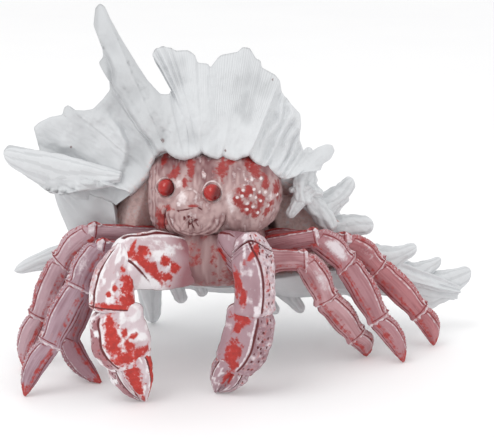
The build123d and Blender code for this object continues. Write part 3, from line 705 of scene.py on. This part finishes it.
def leg_segment(start, end, kind, facing, outward, breadth, depth, bow, seed, field):
    """A leg plate: speckled bead strip on its outer edge, dark grooves beside it, knots and a collar."""
    is_toe = kind == "toe"
    is_thigh = kind == "thigh"
    lap = 0.0 if is_toe else 1.5
    shape = LEG_SHAPES[kind]
    u, v, length, moulded = segment(start, end, facing, outward, breadth, depth, shape, bow, lap=lap)
    w = np.abs(v)
    wander = 0.1 * rough(u * 3, np.sign(v), seed)
    edge = 0.92 + wander - 0.25 * is_toe * ease((u - 0.4) / 0.6) - 0.4 * is_thigh
    shut = ease((u - 0.04) / 0.08) * ease(((1.05 if is_toe else 0.93) - u) / 0.06)
    groove = hump(w, edge, 0.085) * shut
    beside = hump(w, edge + 0.22, 0.1) * shut
    inner = hump(w, 2.62 + wander, 0.1) * ease((u - 0.1) / 0.1) * ease((0.88 - u) / 0.06)
    strip = ease((edge - w) / 0.14)
    collar = ease((u - 0.925) / 0.02) * (not is_toe)
    bead = beads(u * 17, v * 5, seed, 0.4) * strip * (1 - collar) * (1 - 0.8 * is_thigh)
    far = np.hypot((u - 0.9) * length, (w - 0.55) * breadth / 2)
    knot = hump(far, 2.0, 0.65) * (not is_toe)
    knot_hole = hump(far, 0.0, 1.1) * (not is_toe)
    ridge = hump(w, 1.7, 0.3) * (1 - collar) * (0.6 if is_toe else 0.25)
    streak = rough(u * 2.5, v * 13, seed + 2)
    skin_height = 0.2 * rough(u * 7, v * 3, seed + 3) + 0.1 * rough(u * 24, v * 12, seed + 5) + 0.08 * streak
    raised = -0.4 * strip + 0.5 * bead - 0.65 * groove + 0.25 * beside - 0.4 * inner + 0.5 * ridge
    raised = raised + 0.7 * knot - 0.5 * knot_hole + 0.3 * collar * np.cos(v * 9) + skin_height
    raised = raised * ease((1.0 - u) / 0.12) if is_toe else raised
    underline = hump(u, 0.915, 0.014) * (not is_toe) * ease((2.5 - w) / 0.3)
    overline = hump(u, 0.09, 0.02) * hump(w, 1.2, 0.7)
    rear_line = hump(w, np.pi, 0.16) * 0.8
    middle_pale = field * (kind == "knee") * hump(u, 0.52, 0.36) * hump(w, 1.5, 0.5)
    ridge_pale = 0.34 * ridge + 0.3 * streak
    inner_red = (0.42 + 0.2 * is_toe) * hump(w, 2.2, 0.3)
    tip_red = 0.8 * ease((u - 0.72) / 0.2) * is_toe
    # The darker colour: painted shade towards the inner edge, the underside turned from the light; more of it
    # on the thigh plates; and random patches as tone.
    shade_and_wash = 0.3 + 0.25 * is_thigh + 0.2 * ease((w - 1.8) / 0.4) + 0.35 * rough(u * 3, v * 1.5, seed + 9)
    dark = strongest(0.95 * groove, 0.75 * inner, 0.75 * underline, 0.6 * overline, rear_line)
    dark = np.maximum(dark, 0.7 * knot_hole)
    pale = strongest(0.55 * collar, 0.8 * bead, 0.55 * beside, 0.75 * knot, ridge_pale, middle_pale)
    red = strongest((0.32 + 0.4 * is_thigh) * strip, inner_red, tip_red) + 0.22 * streak
    masks = {"line": dark, "pale": pale, "red": red, "shade_and_tone": shade_and_wash + 0.35 * streak}
    return moulded(raised), masks


# %% [markdown]
# Three legs stand on each side. Each is a chain of four plates from the body to the floor, and each has its
# own tone, because the painter's wash differs from leg to leg.

# %% Legs
BODY_X = -18.0
HIP = 26.5  # from the middle of the body to the root of a leg
LEG_ROOTS = {"front": (-29.0, 65.0), "middle": (-17.0, 68.0), "rear": (-5.0, 70.0)}
LEGS = {
    "left_front_leg": [(-79, -42, 76), (-89, -50, 57.5), (-104, -58, 28.5), (-118, -60.5, 0.7)],
    "left_middle_leg": [(-76, -26, 68), (-87, -29, 49.5), (-98, -33, 22), (-79.5, -42.5, 0.7)],
    "left_rear_leg": [(-86, -19, 78.5), (-102, -17, 61), (-116, -18, 29.5), (-125.5, -19, 0.7)],
    "right_front_leg": [(31.5, -28, 65.5), (43.5, -20, 41), (62, -8, 15), (69, -2, 0.7)],
    "right_middle_leg": [(38.5, -17, 75), (55, -14, 59.5), (74, -13, 26.5), (89, -11.5, 0.7)],
    "right_rear_leg": [(57, -1, 67.5), (74, 3, 52), (100.5, 10, 22.5), (110, 15.5, 0.7)],
}
LEG_SIZES = {  # breadth, depth, bow
    "thigh": (13, 10, 1.0),
    "knee": (15.5, 10.5, 1.5),
    "shin": (15.5, 10, 1.0),
    "toe": (12.5, 8.5, 2.5),
}
LEG_TONES = {  # face, shade
    "left_front_leg": ((176, 148, 158), (128, 88, 100)),
    "left_middle_leg": ((168, 130, 140), (118, 72, 82)),
    "left_rear_leg": ((192, 160, 168), (146, 104, 112)),
    "right_front_leg": ((198, 156, 160), (146, 88, 94)),
    "right_middle_leg": ((178, 130, 136), (132, 72, 78)),
    "right_rear_leg": ((184, 122, 126), (140, 70, 76)),
}
LEG_CHALK = (218, 206, 210)
KNEE_PALE = {"right_middle_leg": 0.9, "right_front_leg": 0.56, "left_front_leg": 0.48}
for number, (leg, joints) in enumerate(LEGS.items()):
    hand, row, _ = leg.split("_")
    way = -1.0 if hand == "left" else 1.0
    root = (BODY_X + way * HIP, *LEG_ROOTS[row])
    leg_paint = painted(leg + "_paint", *LEG_TONES[leg], LEG_CHALK, (176, 58, 54), (122, 26, 32), 0.42)
    for step, (kind, start, end) in enumerate(zip(LEG_SIZES, [root, *joints], joints)):
        seed = 100 + number * 10 + step
        faces_to = (0.2 * way, -1, 0.3)
        field = KNEE_PALE.get(leg, 0.4)
        grid = leg_segment(start, end, kind, faces_to, (way, 0, 0.4), *LEG_SIZES[kind], seed, field)
        casting(f"{leg}_{kind}_skin", [grid], leg_paint, "limb", f"{leg}_{kind}")

# %% [markdown]
# ## Claws
#
# The claws are the heaviest castings of the crab, and the most brightly painted: chalk white with bright
# red fields and dark red lines. Each has an upper arm, a wrist plate, a palm with the fixed finger on it,
# and a second finger beside that one. They are made from the tube that the legs use, with fuller
# profiles, because their plates are built alike. The red fields are soft ovals at chosen places, as a
# painter sets them, because a chance pattern would put them anywhere.

# %% Claw shapes and spots
ALONG = [0, 0.3, 0.7, 1]  # stations where the dark line's place is given
CLAW_SHAPES = {
    "upper_arm": ([0, 0.1, 0.24, 0.42, 0.8, 0.93, 1], [0.3, 0.56, 0.8, 0.98, 1.02, 0.98, 0.72]),
    "left_wrist": ([0, 0.08, 0.3, 0.6, 0.88, 0.96, 1], [0.2, 0.42, 0.72, 0.95, 1.06, 1.06, 0.85]),
    "right_wrist": ([0, 0.06, 0.18, 0.5, 0.88, 0.96, 1], [0.35, 0.66, 0.9, 1.0, 0.98, 1.0, 0.8]),
    "palm": ([0, 0.05, 0.3, 0.55, 0.85, 1], [0.62, 0.82, 0.98, 1.04, 0.94, 0.7]),
    "finger": ([0, 0.08, 0.3, 0.6, 0.85, 1], [0.75, 0.92, 1.0, 0.78, 0.42, 0.12]),
}


def spots(x, y, places):
    """Soft ovals: at each place a bell in two directions, turned by an angle, and the strongest counts."""
    total = np.zeros(np.broadcast(x, y).shape)
    for middle_x, middle_y, size_x, size_y, degrees in places:
        c, s = np.cos(np.radians(degrees)), np.sin(np.radians(degrees))
        along = ((x - middle_x) * c + (y - middle_y) * s) / size_x
        across = ((y - middle_y) * c - (x - middle_x) * s) / size_y
        total = np.maximum(total, np.exp(-(along**2) - across**2))
    return total

# %% Claw plates


def claw_segment(
    start, end, kind, facing, outward, sizes, seed, edge, red, lines=(), strip_deep=0.3, chalk=0.4
):
    """A claw plate: a pitted strip outside a dark line, folds inside it, and red fields at chosen places."""
    shape = CLAW_SHAPES[kind]
    tuck = 24.0 if kind == "upper_arm" else 2.5
    lap = 0.0 if kind == "finger" else 1.5
    breadth, depth, bow = sizes
    u, v, _, moulded = segment(start, end, facing, outward, breadth, depth, shape, bow, tuck, lap, (140, 132))
    x = np.cos(v)
    in_front = ease((np.sin(v) + 0.3) / 0.2)
    line_x = flowing(u, ALONG, edge) + 0.03 * rough(u * 5, np.sign(v), seed)
    strip = ease((x - line_x) / 0.06)
    shut = ease((u - 0.05) / 0.06) * ease((0.98 - u) / 0.05)
    groove = hump(x, line_x, 0.065) * shut
    beside = hump(x, line_x - 0.13, 0.06) * shut
    bead = beads(u * 9, v * 4, seed, 0.45) * strip
    pitted = beads(u * 8 + 0.5, v * 3.5 + 0.5, seed + 6, 0.26) * ease((x - line_x - 0.1) / 0.06)
    arch = u - 0.16 * x**2
    in_arch = in_front * (kind == "right_wrist")
    arches = 0.45 * np.cos(arch * 2 * np.pi / 0.045) * ease(arch / 0.03) * ease((0.2 - arch) / 0.05) * in_arch
    drawn = strongest(spots(u, x, lines) * in_front, hump(arch, 0.075, 0.012) * in_arch)
    folds = 0.5 * rough(u * 5, x * 3, seed + 3) + 0.22 * rough(u * 16, x * 9, seed + 4)
    raised = -0.4 * strip + 0.16 * bead - 0.8 * pitted - 0.9 * groove + 0.35 * beside
    raised = (raised - 0.6 * drawn + folds + arches) * ease((1.02 - u) / 0.1)
    fields = spots(u, x, red) * in_front
    rim = hump(u, 0.93, 0.014) * (kind == "left_wrist")
    # Painted shade: the back half of each plate, turned from the light, takes more of the darker colour, and
    # so does the root of the upper arm where it goes in under the body, which also loses its chalk.
    root_shade = ease((0.62 - u) / 0.28) * (kind == "upper_arm")
    bright = strip * (1 - strip_deep)
    chalky = chalk + 0.5 * rough(u * 9, x * 5, seed + 7) - 0.6 * root_shade
    shade_and_wash = 0.22 + strip_deep * strip + 0.25 * rough(u * 3, x * 2, seed + 9)
    masks = {
        "line": strongest(groove, drawn, 0.95 * pitted, 0.9 * rim, 0.8 * hump(x, -1.0, 0.015)),
        "pale": strongest(0.3 * bead, 0.7 * beside, 0.57 * bright, chalky),
        "red": 1.25 * fields + 0.2 * rough(u * 24, x * 9, seed + 11) + 0.3 * bright,
        "shade_and_tone": shade_and_wash + 0.5 * (1 - in_front) + 0.8 * root_shade,
    }
    return moulded(raised), masks


# %% [markdown]
# The left claw is the brighter one. Its red fields lie on the inner half of each plate, and a dark line keeps
# them off the pitted outer strip.

# %% Left arm and wrist
CLAW_PARTS = ("upper_arm", "wrist", "palm", "finger")
left_paint = painted("left_claw_paint", (219, 206, 211), (160, 108, 114), CHALK, (192, 46, 34), DARK, 0.4)
left_face = (0.15, -1, 0.2)
left_out = (-1, 0, 0.2)
ARM_RED = [
    (0.77, -0.2, 0.62, 0.07, 74), (0.82, 0.3, 0.07, 0.2, 0), (0.61, -0.05, 0.06, 0.2, 0),
    (0.52, -0.3, 0.05, 0.2, 0), (0.58, -0.6, 0.06, 0.15, 0), (0.955, 0.3, 0.026, 0.5, 12),
]
arm = claw_segment(
    (-35, -40, 69), (-66, -62, 74), "upper_arm", (0, -1, 0.3), (0, 0, 1), (30, 20, 1.5), 200,
    [0.93] * 4, ARM_RED, [(0.9, -0.1, 0.8, 0.016, 76)],
)
WRIST_RED = [
    (0.6, -0.72, 0.2, 0.35, 0), (0.8, -0.6, 0.1, 0.4, 0), (0.9, -0.1, 0.05, 0.95, 0),
    (0.63, -0.1, 0.05, 0.12, 0), (0.72, 0.15, 0.05, 0.14, 0), (0.36, -0.5, 0.05, 0.15, 0),
]
wrist = claw_segment(
    (-65, -63, 83), (-69, -69, 52), "left_wrist", left_face, left_out, (23, 18, 2.0), 210,
    [0.55, 0.72, 0.8, 0.82], WRIST_RED,
)

# %% Left palm and fingers
PALM_RED = [
    (0.42, 0.25, 0.5, 0.24, -6), (0.8, -0.15, 0.13, 0.75, 0), (0.62, -0.25, 0.1, 0.2, 0),
    (0.4, -0.2, 0.1, 0.12, 0), (0.5, -0.5, 0.05, 0.15, 0),
]
palm = claw_segment(
    (-67.5, -69, 51.5), (-61.5, -70, 23), "palm", left_face, left_out, (29.5, 20, 1.5), 220,
    [0.68, 0.7, 0.66, 0.45], PALM_RED, strip_deep=0.8,
)
fixed = claw_segment(
    (-69.5, -69, 26), (-56, -66, 0.6), "finger", left_face, left_out, (11, 13, 2.5), 230,
    [0.2, 0.2, 0.1, 0.0], [(0.5, -0.7, 0.6, 0.3, 0)], strip_deep=0.8,
)
moving = claw_segment(
    (-59, -70, 26), (-53.5, -67, 0.6), "finger", left_face, (1, 0, 0), (17, 14, 0.5), 240,
    [0.8] * 4, [(0.4, -0.36, 0.7, 0.46, 0), (0.5, 0.95, 0.6, 0.22, 0)],
)
for part, grids in zip(CLAW_PARTS, ([arm], [wrist], [palm, fixed], [moving])):
    casting(f"left_claw_{part}_skin", grids, left_paint, "limb", f"left_claw_{part}")

# %% [markdown]
# The right claw is narrower. A broad pale strip with dark pits runs down its outer side, and the red is left
# to the inner edge.

# %% Right arm and wrist
right_paint = painted("right_claw_paint", (176, 146, 154), (128, 86, 94), (226, 216, 220), RED, DARK, 0.4)
right_face = (0.05, -1, 0.2)
right_out = (1, 0, 0.1)
arm = claw_segment(
    (-3, -38, 66), (-1, -54, 82), "upper_arm", (-0.4, -1, 0), (1, 0, 0), (28, 20, -2.5), 300,
    [0.9] * 4, [(0.72, -0.5, 0.1, 0.3, 0)],
    [(place, 0, 0.012, 1.2, 0) for place in (0.56, 0.66, 0.76, 0.86)], chalk=0.1,
)
wrist = claw_segment(
    (1.5, -61, 88), (4, -63, 48.5), "right_wrist", right_face, right_out, (22, 18, 1.0), 310,
    [-0.3, 0.25, 0.38, 0.3],
    [(0.22, 0.0, 0.05, 0.4, 15), (0.58, -0.8, 0.17, 0.2, 0), (0.75, -0.6, 0.1, 0.15, 0)],
    strip_deep=0.1, chalk=0.22,
)

# %% Right palm and fingers
PALM_RED = [
    (0.15, -0.35, 0.1, 0.42, 0), (0.28, -0.5, 0.12, 0.16, 0), (0.68, -0.45, 0.2, 0.3, 0),
    (0.86, -0.25, 0.12, 0.2, 0),
]
palm = claw_segment(
    (2.5, -62, 49), (-5.5, -59, 16), "palm", right_face, right_out, (26, 19, 1.5), 320,
    [0.3, 0.28, 0.2, 0.0], PALM_RED, strip_deep=0.35, chalk=0.12,
)
fixed = claw_segment(
    (-10, -59, 20), (-17, -55, 0.6), "finger", right_face, (-1, 0, 0), (13, 13, 1.0), 330,
    [0.8] * 4, [(0.35, -0.5, 0.3, 0.25, 0)], chalk=0.22,
)
moving = claw_segment(
    (-2.5, -59, 19), (-15, -55, 0.6), "finger", right_face, right_out, (12, 13, 3.0), 340,
    [0.3, 0.3, 0.2, 0.0], [(0.4, -0.6, 0.4, 0.2, 0)], strip_deep=0.2, chalk=0.22,
)
for part, grids in zip(CLAW_PARTS, ([arm], [wrist], [palm, fixed], [moving])):
    casting(f"right_claw_{part}_skin", grids, right_paint, "limb", f"right_claw_{part}")

# %% [markdown]
# ## Head and body
#
# The head is a low, blunt dome with a round muzzle of curved plates, two rimmed eye sockets and a spotted
# red cheek. It could be cut from a ball. A ball whose roundness differs from side to side is chosen,
# because the brow, the cheeks and the chin are each blunt in their own way. The body below it is a plain
# rounded block: it is mostly in shade.

# %% Head
HEAD = np.array([-18.0, -9.0, 99.5])
t = np.linspace(0.02, np.pi - 0.02, 260)[:, None]
a = np.linspace(0, 2 * np.pi, 300, endpoint=False)[None, :]
forward = np.clip(np.cos(t), 0, 1)
ahead = np.where(forward > 0, 35.0, 26.0)
girth = np.where(forward > 0, np.sin(t) ** 0.7, np.sin(t))
power = np.where(np.cos(a) < 0, 4.0, np.where(np.sin(a) < 0, 3.3, 2.5))
corner = (np.abs(np.cos(a)) ** power + np.abs(np.sin(a)) ** power) ** (-1 / power)
tall = np.where(np.sin(a) > 0, 31.0, 21.0)
wide = np.where(np.cos(a) < 0, 35.4, 37.0)
hx = HEAD[0] + wide * girth * corner * np.cos(a) - 4.0 * forward
hz = HEAD[2] + tall * girth * corner * np.sin(a) - 3.0 * forward
hy = HEAD[1] - ahead * np.cos(t) + 17.0 * ease((hz - 107) / 20) * forward ** 0.5
hz = hz - 0.85 * np.clip(hz - 119, 0, None) * ease((hy + 19) / 14)
head_points = np.stack([hx, hy, hz], axis=-1)
front = ease((1.75 - t) / 0.3)

# %% [markdown]
# The muzzle is a round bowl of curved plates with small mouthparts in its middle. The eyes sit in rimmed
# hollows above it.

# %% Face
EYES = {"left_eye": (-42.7, 108.0), "right_eye": (-18.2, 107.3)}
SUNK = {"left_eye": 4.6, "right_eye": 7.4}
eye_y = [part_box(name)[0][1] / MM + SUNK[name] for name in EYES]
MOUTH_X, MOUTH_Z = -27.0, 95.0
in_muzzle = np.hypot((hx - MOUTH_X) / 15.5, (hz - MOUTH_Z) / 13.0)
muzzle = np.sqrt(np.clip(1.06 - in_muzzle**2, 0, 1))
muzzle_edge = hump(in_muzzle, 1.03, 0.045) * ease((99 - hz) / 5)
arcs = np.cos(in_muzzle * 34) * ease((in_muzzle - 0.45) / 0.1) * ease((1 - in_muzzle) / 0.1)
arcs = arcs * ease((98 - hz) / 4)
beak_far = np.hypot(hx + 28.5, hz - 97.0)
beak_turn = np.arctan2(hx + 28.5, 97.0 - hz)
in_beak = ease((12.0 - beak_far) / 4) * ease((beak_far - 0.6) / 1.5) * ease((0.75 - np.abs(beak_turn)) / 0.2)
leaves = np.cos(beak_turn * 14 + 1.6 * rough(hx / 2.5, hz / 2.5, 45))
beak_gap = in_beak * ease((-leaves - 0.35) / 0.4) * ease((9.5 - beak_far) / 3)
SPECKS = [
    (-31.7, 94.7, 0.8, 1.3, 0), (-29, 92.4, 1.0, 0.8, 0), (-29.6, 95.6, 0.7, 0.7, 0), (-26, 94, 1.4, 0.8, 20),
]
specks = spots(hx, hz, SPECKS)
upper_arc = spots(hx, hz, [(-31, 99.0, 5.2, 0.5, 12), (-35, 98.0, 0.8, 0.7, 0), (-24, 99.5, 2.0, 0.5, -30)])
bridge = hump(np.hypot((hx + 30) / 6.5, (hz - 101) / 8), 1, 0.09) * ease((hz - 102) / 3)
eye_far = [np.hypot(hx - x, hz - z) for x, z in EYES.values()]
rims = sum(hump(far, 5.0, 0.6) for far in eye_far)
hollows = sum(hump(far, 6.4, 0.8) for far in eye_far)
cheek = hump(hx, 4, 13) * hump(hz, 104, 12)
cheek_line = hump(np.hypot((hx + 36) / 8.0, (hz - 91) / 10), 1, 0.06) * ease((-40 - hx) / 2)
print("muzzle", round(float((in_muzzle < 1).sum()) / in_muzzle.size, 3), "of the head's points")

# %% [markdown]
# Red touches and pale dots are placed one by one on the brow and the cheek. Streaks and a net of fine lines
# break them up.

# %% Touches of red and pale dots
HEAD_RED = [  # place, two sizes, turn
    (-30, 118.3, 1.7, 4.0, 4), (-32.4, 111.6, 1.3, 2.4, 0), (-38.3, 115.4, 3.0, 1.7, 35),
    (-44.4, 121, 1.4, 2.6, -15), (-13.6, 117.1, 2.6, 3.2, 0), (-9.5, 119.5, 3.5, 1.2, 10),
    (3.3, 116.4, 5.8, 2.6, -50), (9, 109, 2.0, 2.6, 0), (-1.1, 106.9, 4.0, 2.4, 0),
    (-5, 103.1, 2.3, 3.0, 20), (0.4, 97.9, 3.8, 3.0, -20), (3.8, 94.6, 2.0, 2.6, 0),
    (6.2, 101.2, 1.7, 3.0, 10), (15.5, 104.1, 1.9, 4.3, 8), (10.5, 96, 1.9, 4.2, -35),
    (-45.6, 91.3, 2.2, 6.0, 0), (-41, 98.9, 3.0, 1.1, 0), (-24.6, 81.8, 4.0, 1.6, 0),
    (-28, 100.8, 2.2, 0.7, 0),
]
DOTS = [
    (-3.1, 105), (0.9, 104.8), (3.8, 103.4), (6, 101.3), (5.8, 105.8), (8.7, 105), (-2.6, 107.8),
    (6.5, 111.6), (-0.6, 97.9), (-0.6, 101), (2.3, 98.9), (2.6, 107.5), (2, 112), (-5.5, 104.5),
    (15, 101.5), (10.6, 97.4), (5, 95.2),
]

# %% Head surface and paint
red_touch = spots(hx, hz, [(x, z, 1.3 * w, 1.3 * h, turned) for x, z, w, h, turned in HEAD_RED])
dots = sum(hump(np.hypot(hx - x, hz - z), 0, 0.85) for x, z in DOTS)
grain = 0.7 * rough(hx / 1.3, hz / 2.6, 44) + 0.5 * rough(hx / 3.2, hz / 3.2, 47)
left_lines = np.cos(hx * 3.6 + rough(hx / 4, hz / 6, 49)) * ease((-46 - hx) / 3)
lace = rough(hx / 1.1, hz / 1.1, 48) * hump(hx, -2, 9) * hump(hz, 111, 6)
grey_brow = spots(hx, hz, [(-22, 116, 5, 6, 0), (-40, 119, 6, 4, 0), (10, 115, 6, 5, -40)])
PALE_ZONES = [(-8.5, 102, 4.0, 8, 10), (-33, 104, 5, 6, 0), (-36, 111, 4, 3, 20), (12, 101, 2, 7, -12)]
pale_zone = spots(hx, hz, PALE_ZONES)
wrinkle = 0.45 * rough(hx / 4, hz / 4, 41) + 0.25 * rough(hx / 1.6, hz / 1.6, 42)
mouth_raise = 3.2 * muzzle + 0.3 * arcs - 1.2 * muzzle_edge + in_beak * (0.8 * leaves + 0.6)
mouth_raise = mouth_raise - 0.8 * upper_arc - 0.9 * specks + bridge
eye_raise = 0.8 * rims - 0.7 * hollows
cheek_raise = 0.5 * dots + 1.5 * cheek + 0.3 * left_lines - 0.8 * cheek_line
head_raise = wrinkle + front * (mouth_raise + eye_raise + cheek_raise)
head_points = head_points + unit(head_points - HEAD) * head_raise[..., None]
for far, depth in zip(eye_far, eye_y):
    near = ease((6.5 - far) / 2.5) * front
    head_points[..., 1] += near * np.clip(depth + 1.0 - head_points[..., 1], 0, None)
drawn = strongest(0.6 * muzzle_edge, 0.8 * beak_gap, specks, 0.9 * upper_arc, 0.85 * cheek_line)
# Painted shade: the eye hollows get a little of the dark line colour.
drawn = np.maximum(drawn, 0.3 * hollows)
light = strongest(dots, 0.6 * rims, 0.5 * bridge, 0.62 * pale_zone, 0.9 * lace, 0.14 + 0.5 * grain)
# Painted shade and tone: the head darkens towards its top, under the shell's lip, and in the troughs between
# the muzzle's arcs; the grain adds random tone.
shade_and_wash = 0.42 + 0.5 * grain + 0.2 * ease((hz - 108) / 8) + 0.35 * ease(-arcs / 0.6)
head_masks = {
    "red": front * (1.05 * red_touch * (1 - 1.4 * dots) + 0.3 * grain * (1 - pale_zone)),
    "line": front * drawn,
    "pale": front * light,
    "shade_and_tone": shade_and_wash + 0.4 * grey_brow + 0.3 * left_lines - 0.3 * pale_zone,
}
print("head", np.ptp(head_points.reshape(-1, 3), axis=0).round(1), "mm")

# %% Thorax and abdomen
q = np.linspace(0, 1, 60)[:, None]
b = np.linspace(0, 2 * np.pi, 140, endpoint=False)[None, :]
square = (np.abs(np.cos(b)) ** 5 + np.abs(np.sin(b)) ** 5) ** (-1 / 5)
girth = flowing(q, [0, 0.06, 0.15, 0.3, 0.9, 1], [0.35, 0.58, 0.8, 0.97, 0.98, 0.9])
thorax_points = np.stack(
    [
        -18 + 26.2 * square * np.cos(b) * girth,
        -15 + 28.5 * square * np.sin(b) * girth,
        50.3 + 33.5 * q + 0 * b,
    ],
    axis=-1,
)
folds = 0.6 * rough(b * 9, q * 2.5, 50) + 0.4 * rough(b * 30, q * 4, 52)
thorax_points[..., 1] -= 0.7 * folds * ease((0.95 - q) / 0.1)
thorax_red = 0.15 + 0.2 * ease((0.3 - q) / 0.2) + 0.4 * rough(b * 7, q * 5, 53)
# Painted shade: the thorax below the head takes mostly the darker colour, and its folds vary it as tone.
thorax_masks = {"shade_and_tone": 0.72 + 0.5 * folds, "red": thorax_red}
abdomen = spine((-18, 8, 67), (-18, 51.8, 67), (44, 26), (29, 26), 0, (1, 0, 0), 51, 1, 30, 60)
body_grids = [(head_points, head_masks), (thorax_points, thorax_masks), abdomen]
casting("crab_body_skin", body_grids, body_paint, "body", "crab_body")

# %% [markdown]
# ## Eyes and dowels
#
# The eyes are glossy red beads. A plain ball is enough for them, because the gloss, a painted shade on one
# side and a painted highlight make them look round. The steel dowels inside the joints keep their measured
# shape and get a metal finish.

# %% Eyes
# The eye paint's darker second colour is its painted shade, and its pale colour is used for the painted
# highlight and the painted light on the lower edge.
eye_paint = painted("eye_red", (176, 36, 31), (100, 8, 10), (226, 150, 142), RED, DARK, 0.2, 0.00002)
EYE_RADIUS = 4.5
tilt = np.linspace(0.03, np.pi - 0.03, 40)[:, None]
sphere = np.stack([np.sin(tilt) * np.cos(b), -np.cos(tilt) + 0 * b, np.sin(tilt) * np.sin(b)], axis=-1)
aside = EYE_RADIUS * sphere
right, ahead, up = np.moveaxis(aside, -1, 0)
# Painted light: a painted shade towards the lower right of each bead, a painted highlight at its upper left,
# and a pale band of painted light along its lower edge.
shade = ease((right - up * 0.3 - ahead * 0.2 + 1.0) / 4.0)
glint = hump(np.hypot(right + 0.8, up - 2.2), 0, 1.2) * (ahead < 0)
low_edge_light = ease((-up - right * 0.5 - 2.4) / 1.6)
bead_masks = {"shade_and_tone": shade, "pale": 0.45 * glint + 0.42 * low_edge_light}
for name, depth in zip(EYES, eye_y):
    centre = np.array([EYES[name][0], depth, EYES[name][1]])
    casting(name + "_bead", [(centre + aside, bead_masks)], eye_paint, "eye", name)
    print(name, centre.round(1))

# %% Dowels
steel = painted("dowel_steel", (150, 152, 156), (110, 112, 118), CHALK, RED, DARK, 0.35)
steel.node_tree.nodes["Principled BSDF"].inputs["Metallic"].default_value = 1.0
for name in ("limb_dowels", "shell_dowel"):
    frame["nodes"][name].data.materials.clear()
    frame["nodes"][name].data.materials.append(steel)

# %% [markdown]
# ## Floor, light and camera
#
# The ornament stands on a plain pale floor, seen from the front and a little above. A bright sky could
# light it alone. A wide lamp above and to the left is added, because it draws the folds of the shell with
# soft shadows, and a weak one on the right keeps those from going black.

# %% Floor
floor_mesh = bpy.data.meshes.new("floor")
floor_mesh.from_pydata([(-4, -2, 0), (4, -2, 0), (4, 6, 0), (-4, 6, 0)], [], [(0, 1, 2, 3)])
floor = placed("floor", floor_mesh)
floor_paint = bpy.data.materials.new("floor_white")
floor_paint.use_nodes = True
tree = floor_paint.node_tree
tone = mixed(tree, noise_node(tree, 3, 2), colour(255, 255, 255), colour(251, 251, 252))
tree.links.new(tone, tree.nodes["Principled BSDF"].inputs["Base Color"])
tree.nodes["Principled BSDF"].inputs["Roughness"].default_value = 0.9
floor.data.materials.append(floor_paint)

# %% Light
world = bpy.data.worlds.new("studio")
scene.world = world
world.use_nodes = True
sky = world.node_tree.nodes["Background"]
sky.inputs["Color"].default_value = (1, 1, 1, 1)
sky.inputs["Strength"].default_value = 0.97
LIGHTS = [  # place, width, power
    ("key", (-0.5, -0.5, 1.3), 0.7, 4.5),
    ("fill", (0.9, -0.9, 0.6), 0.9, 0.5),
]
AIM = np.array([0, 0, 0.08])
for name, place, size, power in LIGHTS:
    lamp = bpy.data.lights.new(name, "AREA")
    lamp.size = size
    lamp.energy = power
    light = placed(name, lamp)
    light.location = place
    aim = AIM - np.array(place)
    pitch = np.arctan2(np.hypot(aim[0], aim[1]), -aim[2])
    light.rotation_euler = (pitch, 0, np.arctan2(aim[0], -aim[1]) + np.pi)

# %% Camera
CAMERA_PLACE = (0, -0.6888, 0.2661)
CAMERA_DIP = 15  # degrees below the horizon
lens = bpy.data.cameras.new("camera")
lens.sensor_width = 36.0
lens.lens = 92.8
camera = placed("camera", lens)
camera.location = CAMERA_PLACE
camera.rotation_euler = (np.radians(90 - CAMERA_DIP), 0, 0)
scene.camera = camera
scene.view_settings.view_transform = "Standard"
